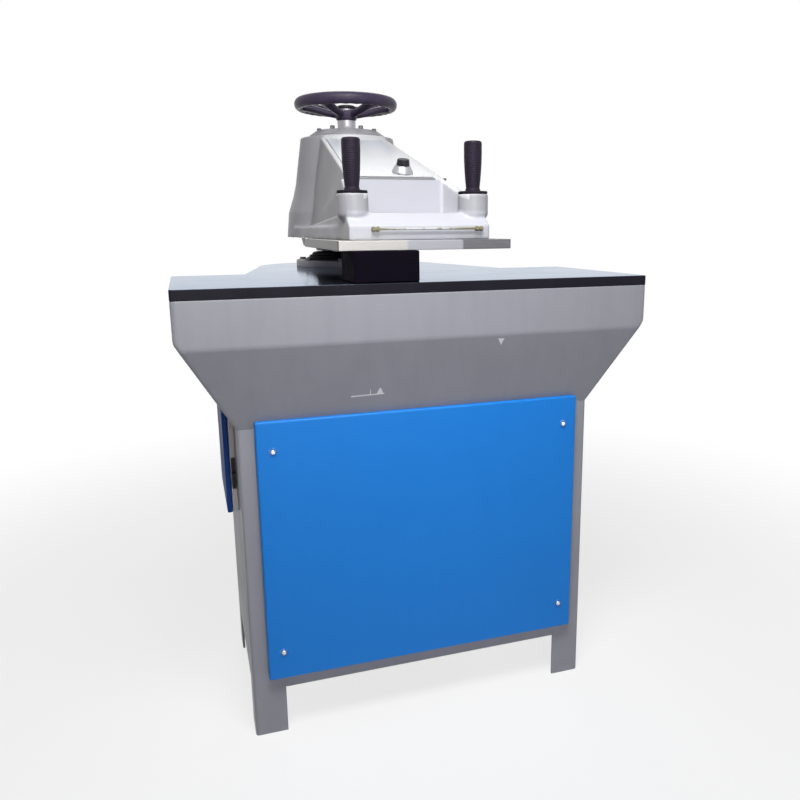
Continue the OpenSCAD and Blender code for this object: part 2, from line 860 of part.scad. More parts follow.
module striking_plate() {
  color("#c9c6bd") at_strike() difference() {
    translate([-strike_w / 2, 0, 0]) cube([strike_w, strike_d, strike_t]);
    strike_screw_places() translate([0, 0, -1]) {
      cylinder(r = bolt_r, h = strike_t + 2);
      cylinder(r = 10, h = 8);
    }
  }
}

module strike_screws() {
  color("#4a4b50") at_strike() strike_screw_places() {
    translate([0, 0, 1]) cylinder(r = 10 - run, h = 6.01);
    translate([0, 0, 7]) cylinder(r = bolt_r - run, h = strike_t - 7);
  }
}

// Conduit along the ledge's front edge, held by a brass union at each end
module switch_conduit() {
  seat = union_r * cos(30);
  color("#b59a4f") at_front(ledge_front - seat, arm_low + ledge_h - union_r) rotate([0, 90, 0]) {
    translate([0, 0, conduit_x[0]]) cylinder(r = conduit_r, h = conduit_x[1] - conduit_x[0]);
    for (x = conduit_x) translate([0, 0, x]) cylinder(r = union_r, h = union_l, center = true, $fn = 6);
  }
}

module at_handle(side) { at_front(handle_back, boss_top) translate([side * handle_x, 0, 0]) children(); }

module collar(side) { color("#19181c") at_handle(side) tube(boss_r + 1, socket_r, collar_t); }

module left_collar() { collar(-1); }
module right_collar() { collar(1); }

// Tapered rubber grip with finger rings and a socket for its button
module grip(side) {
  rings = 9;
  top = collar_t + grip_l;
  color("#201c26") at_handle(side) difference() {
    union() {
      translate([0, 0, -root_h]) cylinder(r = socket_r - run, h = root_h + 1 + collar_t);
      translate([0, 0, collar_t]) rotate_extrude() polygon([
        [0, 0], [grip_foot_r + grip_flare, 0], [grip_foot_r + grip_flare, 5],
        for (i = [0 : rings]) let (z = 9 + i * (grip_l - 16) / rings,
                                   r = grip_foot_r + (grip_head_r - grip_foot_r) * z / grip_l)
          each [[r - 0.7, z - 2.2], [r, z], [r, z + 2.2]],
        [grip_head_r - 3, grip_l], [0, grip_l]]);
    }
    translate([0, 0, top - button_travel - 12]) cylinder(r = button_r + 0.3, h = button_travel + 13);
  }
}

module left_grip() { grip(-1); }
module right_grip() { grip(1); }

module button(side) {
  color("#2d2a30") at_handle(side) translate([0, 0, collar_t + grip_l - 12]) {
    cylinder(r = button_r, h = 12);
  }
}

module left_button() { button(-1); }
module right_button() { button(1); }

module at_knob() { at_roof(knob_at[1]) translate([knob_at[0], 0, cover_t + 0.1]) children(); }

module knob_base() {
  color("#e2e3e5") at_knob() difference() {
    cylinder(r1 = knob_base_r, r2 = knob_r + 1, h = knob_base_h);
    translate([0, 0, knob_base_h - knob_stem]) cylinder(r = knob_stem_r + run, h = knob_stem + 1);
  }
}

module depth_knob() {
  color("#141416") at_knob() translate([0, 0, knob_base_h + gap]) {
    cylinder(r1 = knob_r, r2 = knob_r - 2, h = knob_h);
    for (i = [0 : 11]) rotate(i * 30) translate([knob_r - 2, -1.2, 0]) cube([2.4, 2.4, knob_h / 2]);
    translate([0, 0, gap - knob_stem]) cylinder(r = knob_stem_r, h = knob_stem - gap + 0.01);
  }
}

module adjusting_screw() {
  color("#8d8a90") at_column() {
    translate([0, 0, ram_top - screw_in])
      cylinder(r = screw_r, h = wheel_hub_low + wheel_hub_h + nut_in - ram_top + screw_in);
    translate([0, 0, thrust_z + gap]) tube(thrust_r, screw_r, wheel_hub_low - thrust_z - gap);
  }
}

module spoke() {
  hull() {
    translate([wheel_hub_r - 6, 0, wheel_hub_low + spoke_up]) rotate([0, 90, 0])
      cylinder(r = spoke_hub_r, h = 1, $fn = 24);
    translate([wheel_r - 2 * rim_r + 2, 0, wheel_z]) rotate([0, 90, 0])
      cylinder(r = spoke_rim_r, h = 1, $fn = 24);
  }
}

module handwheel() {
  color("#1f1c22") at_column() difference() {
    union() {
      translate([0, 0, wheel_z]) rotate_extrude() translate([wheel_r - rim_r, 0]) circle(r = rim_r);
      translate([0, 0, wheel_hub_low]) cylinder(r = wheel_hub_r, h = wheel_hub_h);
      ring_of(spokes, 0, spoke_turn) spoke();
    }
    translate([0, 0, wheel_hub_low - 1]) cylinder(r = screw_r, h = wheel_hub_h + 2);
  }
}

// Cap nut with a washer face, which holds the wheel on the screw
module wheel_nut() {
  color("#26242a") at_column(wheel_hub_low + wheel_hub_h) difference() {
    rotate_extrude() polygon([[0, 0], [nut_r - 1.5, 0], [nut_r - 1.5, nut_flange], [nut_r, nut_flange],
                              [nut_r, nut_h - 3], [nut_r - 4, nut_h], [0, nut_h]]);
    translate([0, 0, -1]) cylinder(r = screw_r, h = nut_in + 1);
  }
}

table_plate();
table_casting();
front_left_post();
front_right_post();
rear_left_post();
rear_right_post();
top_rail();
bottom_rail();
left_wall();
right_wall();
rear_panel();
base_tray();
front_panel();
panel_screws();
pedestal();
column_tube();
tube_cap();
guide_bush();
ring_flange();
ring_bolts();
wiper_boot();
rest_block();
oil_tank();
motor_body();
motor_feet();
motor_shaft();
bell_housing();
gear_pump();
valve_block();
pressure_pipe();
filler_cap();
control_box();
box_door();
box_hinge();
switch_plate();
switch_lever();
ram();
piston();
piston_ring();
pivot_sleeve();
arm_casting();
bearing_flange();
roof_cover();
cover_screws();
hub_cap();
cap_bolts();
striking_plate();
strike_screws();
switch_conduit();
left_collar();
right_collar();
left_grip();
right_grip();
left_button();
right_button();
knob_base();
depth_knob();
adjusting_screw();
handwheel();
wheel_nut();
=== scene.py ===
"""Swing arm cutting press: the looks of every piece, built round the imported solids, in metres.

The sections follow the machine as it is put together, from the cabinet's posts up to the handwheel, and the
studio comes last. Front is -Y, the floor is at Z = 0, and X = 0 is the middle plane.
"""
import math

import bmesh
import bpy
import numpy as np
from mathutils import Matrix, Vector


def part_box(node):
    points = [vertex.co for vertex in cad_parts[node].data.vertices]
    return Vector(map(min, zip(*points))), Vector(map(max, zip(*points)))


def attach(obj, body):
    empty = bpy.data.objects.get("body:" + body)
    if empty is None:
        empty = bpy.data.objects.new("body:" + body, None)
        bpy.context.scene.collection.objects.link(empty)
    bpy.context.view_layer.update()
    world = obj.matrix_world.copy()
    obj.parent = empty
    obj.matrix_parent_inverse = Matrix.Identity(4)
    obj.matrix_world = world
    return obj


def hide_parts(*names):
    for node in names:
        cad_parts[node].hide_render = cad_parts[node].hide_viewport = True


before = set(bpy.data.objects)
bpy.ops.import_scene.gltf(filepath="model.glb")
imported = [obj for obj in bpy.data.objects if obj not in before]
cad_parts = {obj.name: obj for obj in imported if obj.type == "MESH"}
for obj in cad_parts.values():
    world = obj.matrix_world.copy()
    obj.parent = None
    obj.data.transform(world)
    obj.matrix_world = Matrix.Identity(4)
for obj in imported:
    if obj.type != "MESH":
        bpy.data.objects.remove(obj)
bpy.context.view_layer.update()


# Corner posts: four angles bent from 5 mm sheet and cut square at the foot, so that their lower ends are
# the legs. Rails and walls are welded between them, and all of it is sprayed with a satin grey enamel.
post_t = 0.005
post_bend = 0.0075
post_inner_bend = 0.003
sheet_edge = 0.0012
sheet_rim = 0.0006
crease_deg = 38


def eased(outline, cut, steps=6):
    """Closed outline whose corners P become the curve (1-s)^2 A + 2s(1-s) P + s^2 B for s from 0 to 1, where
    A and B lie `cut` before and after P on its two sides. Points that fall together are dropped."""
    corner = np.asarray(outline, float)
    before = np.roll(corner, 1, 0) - corner
    after = np.roll(corner, -1, 0) - corner
    long_before = np.linalg.norm(before, axis=1, keepdims=True)
    long_after = np.linalg.norm(after, axis=1, keepdims=True)
    cut = np.broadcast_to(np.asarray(cut, float), len(corner))[:, None]
    cut = np.minimum(cut, 0.49 * np.minimum(long_before, long_after))
    start = (corner + before / long_before * cut)[:, None]
    end = (corner + after / long_after * cut)[:, None]
    s = np.linspace(0, 1, steps)[None, :, None]
    curve = (1 - s) ** 2 * start + 2 * s * (1 - s) * corner[:, None] + s**2 * end
    curve = curve.reshape(-1, 2)
    return curve[np.linalg.norm(np.roll(curve, -1, 0) - curve, axis=1) > 1e-7]


def in_scene(name, data):
    """A new object for that mesh, lamp or camera, at the scene's origin."""
    made = bpy.data.objects.new(name, data)
    bpy.context.scene.collection.objects.link(made)
    return made


def grid_piece(name, points, wrap_u=False, smooth_deg=crease_deg):
    """Piece from a grid points[u, v] whose v wraps round: each cell is a quad. Where u doesn't wrap as well,
    one face closes each end. Edges sharper than `smooth_deg` stay sharp."""
    rows, cols = points.shape[:2]
    index = np.arange(rows * cols).reshape(rows, cols)
    near = index if wrap_u else index[:-1]
    far = np.roll(index, -1, 0) if wrap_u else index[1:]
    quads = np.stack([near, np.roll(near, -1, 1), np.roll(far, -1, 1), far], -1)
    faces = quads.reshape(-1, 4).tolist()
    if not wrap_u:
        faces += [index[0, ::-1].tolist(), index[-1].tolist()]
    mesh = bpy.data.meshes.new(name)
    mesh.from_pydata(points.reshape(-1, 3), [], faces)
    cleaned(mesh, smooth_deg)
    return in_scene(name, mesh)


def cleaned(mesh, smooth_deg=crease_deg):
    """Merges points that fall together, turns all faces outwards and sets the smooth and sharp edges."""
    work = bmesh.new()
    work.from_mesh(mesh)
    bmesh.ops.remove_doubles(work, verts=work.verts, dist=1e-6)
    bmesh.ops.recalc_face_normals(work, faces=work.faces)
    work.to_mesh(mesh)
    work.free()
    mesh.shade_smooth()
    mesh.set_sharp_from_angle(angle=math.radians(smooth_deg))


def evenly_shaded(piece):
    """Flat faces keep their own normals, so that only the rims beside them look round."""
    piece.modifiers.new("even_shading", "WEIGHTED_NORMAL").keep_sharp = True
    return piece


def slab(name, outline, low, high, edge, along="z"):
    """Closed outline carried from `low` to `high` along an axis. At both ends it draws in by edge (1 - sin a)
    while it rises by edge (1 - cos a), for a from 0 to 90 degrees, which rounds the two rims."""
    outline = np.asarray(outline, float)
    turn = np.linspace(0, math.pi / 2, 4)
    inset = edge * (1 - np.sin(turn))
    rise = edge * (1 - np.cos(turn))
    inset = np.concatenate([inset, inset[::-1]])
    level = np.concatenate([low + rise, (high - rise)[::-1]])
    run = np.roll(outline, -1, 0) - np.roll(outline, 1, 0)
    out = np.stack([run[:, 1], -run[:, 0]], 1) / np.linalg.norm(run, axis=1, keepdims=True)
    ahead = np.roll(outline, -1, 0)
    area = np.sum(outline[:, 0] * ahead[:, 1] - outline[:, 1] * ahead[:, 0])
    flat = outline[None] - np.sign(area) * out[None] * inset[:, None, None]
    height = np.broadcast_to(level[:, None], flat.shape[:2])
    order = {"z": (0, 1, 2), "y": (0, 2, 1), "x": (2, 0, 1)}[along]
    stacked = np.stack([flat[..., 0], flat[..., 1], height], -1)
    return evenly_shaded(grid_piece(name, stacked[..., order]))


def add(tree, kind, sockets=None, **settings):
    """A shader node of that kind with its settings; each named socket is set to a value or linked."""
    node = tree.nodes.new("ShaderNode" + kind)
    for key, value in settings.items():
        setattr(node, key, value)
    for key, value in (sockets or {}).items():
        if isinstance(value, bpy.types.NodeSocket):
            tree.links.new(value, node.inputs[key])
        else:
            node.inputs[key].default_value = value
    return node


def blank_finish(name, **fixed):
    """A new material with one shader whose fixed sockets are set; gives the material, its nodes, the shader
    and the piece's own coordinates."""
    finish = bpy.data.materials.new(name)
    finish.use_nodes = True
    tree = finish.node_tree
    tree.nodes.clear()
    shader = add(tree, "BsdfPrincipled", {key.replace("_", " "): value for key, value in fixed.items()})
    add(tree, "OutputMaterial", {"Surface": shader.outputs[0]})
    return finish, tree, shader, add(tree, "TexCoord").outputs["Object"]


def noise(tree, place, scale, detail=3.0, rough=0.55):
    """Soft noise of about `scale` lumps to the metre, from 0 to 1."""
    sockets = {"Vector": place, "Scale": scale, "Detail": detail, "Roughness": rough}
    return add(tree, "TexNoise", sockets).outputs[0]


def ramp(tree, value, low, high, to_low=0.0, to_high=1.0):
    """A value taken from low..high to to_low..to_high with soft ends."""
    return add(tree, "MapRange", {"Value": value, "From Min": low, "From Max": high, "To Min": to_low,
                                  "To Max": to_high}, interpolation_type="SMOOTHSTEP").outputs[0]


def blend_colour(tree, share, first, second):
    """The second colour over the first by a share from 0 to 1."""
    return add(tree, "MixRGB", {"Fac": share, "Color1": first, "Color2": second}).outputs[0]


def multiply(tree, first, *others):
    """The product of two or more values."""
    for other in others:
        first = add(tree, "Math", {0: first, 1: other}, operation="MULTIPLY").outputs[0]
    return first


def edge_mask(tree, place, radius, breakup=60.0):
    """1 on worn edges and 0 on flats: where the normal rounded over `radius` leaves the true one, broken up
    by noise."""
    soft = add(tree, "Bevel", {"Radius": radius}, samples=4).outputs[0]
    true = add(tree, "NewGeometry").outputs["Normal"]
    bend = add(tree, "VectorMath", {0: soft, 1: true}, operation="DOT_PRODUCT").outputs["Value"]
    return multiply(tree, ramp(tree, bend, 0.995, 0.86), ramp(tree, noise(tree, place, breakup), 0.45, 0.62))


def surface(tree, shader, base, rough, height, strength, relief):
    """Links the shader's colour, its roughness and a fine relief."""
    bump = add(tree, "Bump", {"Height": height, "Strength": strength, "Distance": relief}).outputs[0]
    for socket, value in (("Base Color", base), ("Roughness", rough), ("Normal", bump)):
        tree.links.new(value, shader.inputs[socket])


def enamel(name, colour, shade, bare, rough=0.42, peel=420.0, relief=0.00012, worn=0.6, gloss=0.4):
    """Sprayed machine enamel: colour drifts to `shade` in clouds and streaks, the coat has orange peel, its
    gloss varies, and the edges are rubbed to `bare`."""
    finish, tree, shader, place = blank_finish(name, Specular_IOR_Level=gloss)
    cloud = noise(tree, place, 5.0, 5.0, 0.6)
    stretched = add(tree, "Mapping", {"Vector": place, "Scale": (1.0, 1.0, 0.12)}).outputs[0]
    streak = noise(tree, stretched, 38.0, 4.0)
    drift = ramp(tree, multiply(tree, cloud, streak), 0.05, 0.40)
    base = blend_colour(tree, drift, (*shade, 1), (*colour, 1))
    speck = ramp(tree, noise(tree, place, 900.0, 2.0), 0.70, 0.78)
    base = blend_colour(tree, multiply(tree, speck, 0.25), base, (*shade, 1))
    rubbed = multiply(tree, edge_mask(tree, place, 0.0035), worn)
    base = blend_colour(tree, rubbed, base, (*bare, 1))
    dull = ramp(tree, cloud, 0.3, 0.7, rough - 0.06, rough + 0.08)
    surface(tree, shader, base, dull, noise(tree, place, peel, 2.0), 0.35, relief)
    return finish


def dressed(piece, finish):
    """The finish becomes the piece's only material."""
    piece.data.materials.clear()
    piece.data.materials.append(finish)


def fit(piece, body, slot, finish, *nodes):
    """The piece gets its finish, rides on a body and stands for these solids; `slot` is not used."""
    dressed(piece, finish)
    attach(piece, body)
    if nodes:
        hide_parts(*nodes)


grey_paint = (0.250, 0.252, 0.284)
grey_shade = (0.228, 0.229, 0.260)
grey_rubbed = (0.34, 0.34, 0.36)
grey_enamel = enamel("grey_machine_enamel", grey_paint, grey_shade, grey_rubbed)

for post in ("front_left_post", "front_right_post", "rear_left_post", "rear_right_post"):
    low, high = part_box(post)
    outer_x, inward_x = (low.x, 1) if "left" in post else (high.x, -1)
    outer_y, inward_y = (low.y, 1) if "front" in post else (high.y, -1)
    wide, deep = high.x - low.x, high.y - low.y
    angle = eased([(0, 0), (wide, 0), (wide, post_t), (post_t, post_t), (post_t, deep), (0, deep)],
                  [post_bend, sheet_edge, sheet_edge, post_inner_bend, sheet_edge, sheet_edge])
    angle = angle * (inward_x, inward_y) + (outer_x, outer_y)
    fit(slab(post + "_angle", angle, low.z, high.z, sheet_rim), "frame", "grey_paint", grey_enamel, post)


# Rails and walls: flat sheets welded flush between the posts, with their cut edges broken by a file.
# The back is a sheet with rows of cooling slots, and a tray between the posts carries the pump unit.
def box_slab(name, low, high, edge, corner, along):
    """A slab with the box from `low` to `high`, its corners eased by `corner` and its two rims by `edge`."""
    first, second, third = {"z": (0, 1, 2), "y": (0, 2, 1), "x": (1, 2, 0)}[along]
    rectangle = [(low[first], low[second]), (high[first], low[second]), (high[first], high[second]),
                 (low[first], high[second])]
    return slab(name, eased(rectangle, corner), low[third], high[third], edge, along)


wall_rim, wall_corner = 0.0008, 0.0015
for node, along in (("top_rail", "y"), ("bottom_rail", "y"), ("left_wall", "x"), ("right_wall", "x")):
    low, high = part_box(node)
    sheet = box_slab(node + "_sheet", low, high, wall_rim, wall_corner, along)
    fit(sheet, "frame", "grey_paint", grey_enamel, node)

for node in ("rear_panel", "base_tray", "box_hinge"):
    dressed(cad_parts[node], grey_enamel)


# Table casting: a heavy iron casting that flares from the cabinet out to the table. Behind it a round lobe
# carries the column. The fold under the apron is rounded, and the body wears the cabinet's enamel.
casting_low, casting_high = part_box("table_casting")
cabinet_low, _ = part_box("front_left_post")
_, cabinet_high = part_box("rear_right_post")
plate_low, plate_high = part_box("table_plate")
column_low, column_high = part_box("ram")
column = np.array([(column_low.x + column_high.x) / 2, (column_low.y + column_high.y) / 2])
apron_h = 0.071
table_rear = -0.0835
lobe_r = plate_high.y - column[1]
neck_half = 0.300
casting_corner = 0.010
front_drop = 0.013
fold_ease = 0.006
apron_edge = 0.003
lobe_edge = 0.004
lobe_lap = 0.030
tube_hole_r = 0.073
cut_past = 0.01


def settled(piece, smooth_deg=crease_deg):
    """Makes the modifiers' result the piece's own mesh, cleaned."""
    graph = bpy.context.evaluated_depsgraph_get()
    made = bpy.data.meshes.new_from_object(piece.evaluated_get(graph))
    old = piece.data
    piece.modifiers.clear()
    piece.data = made
    made.name = piece.name
    bpy.data.meshes.remove(old)
    cleaned(made, smooth_deg)
    return piece


def combined(piece, operation, *tools):
    """Joins the tools to the piece or cuts them out of it, and removes them."""
    for tool in tools:
        step = piece.modifiers.new("step", "BOOLEAN")
        step.operation = operation
        step.solver = "EXACT"
        step.object = tool
    settled(piece)
    for tool in tools:
        bpy.data.meshes.remove(tool.data)
    return evenly_shaded(piece)


def turned(name, profile, centre, wrap=False, parts=96, smooth_deg=crease_deg):
    """Profile of (radius, height) points turned round an upright axis: x = r cos a, y = r sin a. A wrapped
    profile is a closed ring; an open one is capped, or ends on the axis."""
    profile = np.asarray(profile, float)
    around = np.linspace(0, 2 * math.pi, parts, endpoint=False)
    x = centre[0] + profile[:, :1] * np.cos(around)
    y = centre[1] + profile[:, :1] * np.sin(around)
    z = np.broadcast_to(profile[:, 1:], x.shape)
    return grid_piece(name, np.stack([x, y, z], -1), wrap_u=wrap, smooth_deg=smooth_deg)


def rod(name, radius, low, high, centre, parts=96):
    """A plain round bar for cutting and joining."""
    return turned(name, [(0, low), (radius, low), (radius, high), (0, high)], centre, parts=parts)


def flare_share(fold):
    """Profile of (share of the flare, height): up the slope to the fold, then straight up."""
    span = fold - cabinet_high.z
    corners = np.array([(0, cabinet_high.z), (1, fold), (1, casting_high.z), (0, casting_high.z)])
    line = eased(corners * (span, 1), [0, fold_ease, apron_edge, 0], 8) / (span, 1)
    return line[(line[:, 0] > 1e-6) | (line[:, 1] < fold)]


def flared_body(name):
    """Rounded rectangles carried upwards: each side lies at its place on the cabinet plus the share of its
    overhang at that height, and the front folds lower down than the sides."""
    side_fold = casting_high.z - apron_h
    lines = [flare_share(side_fold), flare_share(side_fold - front_drop)]
    height = np.unique(np.round(np.concatenate([line[:, 1] for line in lines]), 6))
    side, front = [np.interp(height, line[:, 1], line[:, 0]) for line in lines]
    small = np.array([cabinet_low.x, cabinet_high.x, cabinet_low.y, cabinet_high.y])
    large = np.array([casting_low.x, casting_high.x, casting_low.y, table_rear])
    sides = small + np.stack([side, side, front, side], 1) * (large - small)
    unit = eased([(0, 0), (1, 0), (1, 1), (0, 1)], casting_corner / (large[1] - large[0]))
    x = sides[:, 0:1] + unit[:, 0] * (sides[:, 1:2] - sides[:, 0:1])
    y = sides[:, 2:3] + unit[:, 1] * (sides[:, 3:4] - sides[:, 2:3])
    z = np.broadcast_to(height[:, None], x.shape)
    return grid_piece(name, np.stack([x, y, z], -1), smooth_deg=30)


def lobe_outline(front):
    """Neck and half circle of the lobe: straight sides from `front`, then the arc (r cos a, r sin a)."""
    around = np.linspace(0, math.pi, 64)
    arc = column + lobe_r * np.stack([np.cos(around), np.sin(around)], 1)
    slope = (neck_half - lobe_r) / (table_rear - column[1])
    half = neck_half + (front - table_rear) * slope
    return np.concatenate([[(half, front)], arc, [(-half, front)]])


casting = flared_body("table_casting_body")
lobe = slab("lobe", lobe_outline(table_rear - lobe_lap), casting_high.z - apron_h, casting_high.z, lobe_edge)
combined(casting, "UNION", lobe)
combined(casting, "DIFFERENCE", rod("hole", tube_hole_r, casting_low.z, casting_high.z + cut_past, column))

# The casting's coat has old chips on the flare's front face: a long scratch with two nicks above it, and a
# small three-cornered one under the apron. Primer shows pale in them.
chips = (((-0.147, 0.6744), (-0.084, 0.6761), (-0.083, 0.6789), (-0.147, 0.6776)),
         ((-0.1118, 0.677), (-0.1096, 0.677), (-0.1100, 0.6880), (-0.1114, 0.6880)),
         ((-0.0990, 0.677), (-0.0850, 0.677), (-0.0905, 0.6895), (-0.0935, 0.6895)),
         ((0.1402, 0.7605), (0.1455, 0.7745), (0.1320, 0.7750)))
chip_ragged, chip_edge = 0.001, 0.0004
chip_rear = casting_low.y + 0.0875
primer = (0.62, 0.63, 0.66, 1)


def chip_mask(tree, place, outline):
    """1 inside a convex outline of (x, z) corners in anticlockwise order, on the front only: the least of the
    distances from its sides, roughened by noise."""
    corner = np.array(outline)
    along = np.roll(corner, -1, 0) - corner
    inward = np.stack([-along[:, 1], along[:, 0]], 1) / np.linalg.norm(along, axis=1, keepdims=True)
    reach = np.sum(inward * corner, 1)
    least = multiply(tree, noise(tree, place, 420.0, 2.0), chip_ragged)
    for (nx, nz), far in zip(inward.tolist(), reach.tolist()):
        side = add(tree, "VectorMath", {0: place, 1: (nx, 0.0, nz)}, operation="DOT_PRODUCT").outputs["Value"]
        side = add(tree, "Math", {0: side, 1: far}, operation="SUBTRACT").outputs[0]
        least = add(tree, "Math", {0: least, 1: side}, operation="MINIMUM").outputs[0]
    front = ramp(tree, add(tree, "SeparateXYZ", {0: place}).outputs["Y"], chip_rear, chip_rear - 0.02)
    return multiply(tree, ramp(tree, least, 0.0, chip_edge), front)


def reopened(finish):
    """What is needed to lay zones over a finish: its tree, shader, coordinates and the colour so far."""
    tree = finish.node_tree
    shader = tree.nodes["Principled BSDF"]
    place = tree.nodes["Texture Coordinate"].outputs["Object"]
    return tree, shader, place, shader.inputs["Base Color"].links[0].from_socket


chipped_enamel = enamel("chipped_grey_enamel", grey_paint, grey_shade, grey_rubbed)
tree, shader, place, base = reopened(chipped_enamel)
for outline in chips:
    base = blend_colour(tree, chip_mask(tree, place, outline), base, primer)
tree.links.new(base, shader.inputs["Base Color"])
fit(casting, "frame", "grey_paint", chipped_enamel, "table_casting")


# Table plate: a thick steel plate on the casting with blacked sides. Its front edge is rubbed by hides and
# dies, so that a brown line of bare steel shows there.
plate_edge = 0.0014
skin, skin_lap, skin_share = 0.0004, 0.0002, 0.9985


def table_outline():
    """Rectangle of the table with its eased corners, and the neck and lobe behind it."""
    back = lobe_outline(table_rear)
    front = [(plate_low.x, table_rear), (plate_low.x, plate_low.y), (plate_high.x, plate_low.y),
             (plate_high.x, table_rear)]
    return np.concatenate([back, eased(front, 0.004, 5)])


plate = slab("table_plate_steel", table_outline(), plate_low.z, plate_high.z - skin, plate_edge)
hole = rod("hole", tube_hole_r, plate_low.z - cut_past, plate_high.z + cut_past, column)
combined(plate, "DIFFERENCE", hole)
black_rim, tree, shader, place = blank_finish("blacked_steel", Specular_IOR_Level=0.1, Roughness=0.5)
cloud = noise(tree, place, 9.0, 6.0, 0.65)
blacked, faded, rust = (0.0055, 0.0048, 0.0095, 1), (0.0095, 0.0088, 0.0145, 1), (0.11, 0.075, 0.066, 1)
base = blend_colour(tree, ramp(tree, cloud, 0.35, 0.7), blacked, faded)
base = blend_colour(tree, multiply(tree, edge_mask(tree, place, 0.0016, 34.0), 0.6), base, rust)
tree.links.new(base, shader.inputs["Base Color"])
fit(plate, "frame", "black_plate", black_rim, "table_plate")

# The plate's upper face is ground and blued, so that it mirrors the room at a low angle.
face = slab("ground_table_face", table_outline() * skin_share, plate_high.z - skin - skin_lap, plate_high.z,
            skin_lap)
combined(face, "DIFFERENCE", rod("hole", tube_hole_r, plate_low.z, plate_high.z + cut_past, column))
blued, tree, shader, place = blank_finish("blued_ground_steel", Metallic=1.0,
                                          Specular_Tint=(0.66, 0.80, 1.0, 1))
cloud = noise(tree, place, 9.0, 6.0, 0.65)
base = blend_colour(tree, ramp(tree, cloud, 0.35, 0.7), (0.050, 0.060, 0.085, 1), (0.075, 0.085, 0.115, 1))
combed = add(tree, "Mapping", {"Vector": place, "Scale": (1.0, 14.0, 1.0)}).outputs[0]
scratch = ramp(tree, noise(tree, combed, 55.0, 5.0), 0.62, 0.75)
base = blend_colour(tree, multiply(tree, scratch, 0.2), base, (0.12, 0.12, 0.13, 1))
dull = ramp(tree, cloud, 0.3, 0.75, 0.07, 0.13)
surface(tree, shader, base, dull, noise(tree, combed, 180.0, 3.0), 0.05, 0.00005)
fit(face, "frame", "black_plate", blued)


# Front panel: a tray folded from blue sheet that hangs on the posts by four screws. Its upper edge laps a
# little over the flare, so that its return is cut short there.
panel_low, panel_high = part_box("front_panel")
panel_fold = 0.0042
panel_corner = 0.005
panel_clear, lap_clear = 0.0002, 0.001
flare_lean = (cabinet_low.y - casting_low.y) / (casting_high.z - apron_h - front_drop - cabinet_high.z)
lap = panel_high.z - cabinet_high.z


def panel_ring(y, top, inset):
    """Rounded rectangle of the panel at depth y, with its upper edge at `top`, drawn in by `inset`."""
    left, right, foot = panel_low.x + inset, panel_high.x - inset, panel_low.z + inset
    flat = eased([(left, foot), (right, foot), (right, top - inset), (left, top - inset)], panel_corner)
    return np.stack([flat[:, 0], np.full(len(flat), y), flat[:, 1]], 1)


turn = np.linspace(0, math.pi / 2, 6)
rims = [panel_ring(panel_low.y + panel_fold * (1 - math.cos(a)), panel_high.z, panel_fold * (1 - math.sin(a)))
        for a in turn]
rims += [panel_ring(panel_high.y - flare_lean * lap - lap_clear, panel_high.z, 0.0),
         panel_ring(panel_high.y - panel_clear, cabinet_high.z - lap_clear, 0.0)]
panel = evenly_shaded(grid_piece("blue_front_panel", np.stack(rims)))
blue_enamel = enamel("blue_panel_enamel", (0.0085, 0.178, 0.590), (0.0080, 0.172, 0.570), (0.12, 0.27, 0.56),
                     rough=0.46, peel=520.0, relief=0.00008, worn=0.35, gloss=0.22)
fit(panel, "frame", "blue_paint", blue_enamel, "front_panel")


# Panel screws: small zinc plated pan heads with a cross slot, each in a painted cup washer, driven into the
# posts.
screw_low, screw_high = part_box("panel_screws")
screw_head_r, screw_head_h = 0.0048, 0.0034
screw_slot_w, screw_slot_deep = 0.0012, 0.0014
cup_r, cup_h = 0.008, 0.0016
cup_bore, cup_lip, cup_gap, cup_edge = 0.002, 0.0012, 0.0008, 0.0004


def joined(name, meshes):
    """One piece from the points and faces of several meshes, which are then removed."""
    work = bmesh.new()
    for mesh in meshes:
        work.from_mesh(mesh)
        bpy.data.meshes.remove(mesh)
    made = bpy.data.meshes.new(name)
    work.to_mesh(made)
    work.free()
    cleaned(made)
    return in_scene(name, made)


def copies(name, pattern, matrices):
    """One piece with a copy of the pattern's mesh at each matrix."""
    meshes = [pattern.data.copy() for _ in matrices]
    for mesh, matrix in zip(meshes, matrices):
        mesh.transform(matrix)
    bpy.data.meshes.remove(pattern.data)
    return joined(name, meshes)


def dome_head(name, radius, height, slot_w, slot_deep):
    """Pan head on the origin, facing +Z: a flat foot, a quarter-round shoulder and a cross slot."""
    around = np.linspace(0, math.pi / 2, 8)
    shoulder = np.stack([0.55 * radius + 0.45 * radius * np.cos(around), height * np.sin(around)], 1)
    head = turned(name, np.concatenate([[(0, 0)], shoulder, [(0, height)]]), (0, 0), parts=40)
    reach = 0.62 * radius
    for slot_x, slot_y in ((reach, slot_w / 2), (slot_w / 2, reach)):
        bar = box_slab("bar", (-slot_x, -slot_y, height - slot_deep), (slot_x, slot_y, height + cut_past), 0,
                       0.0001, "z")
        combined(head, "DIFFERENCE", bar)
    head.modifiers.clear()
    return head


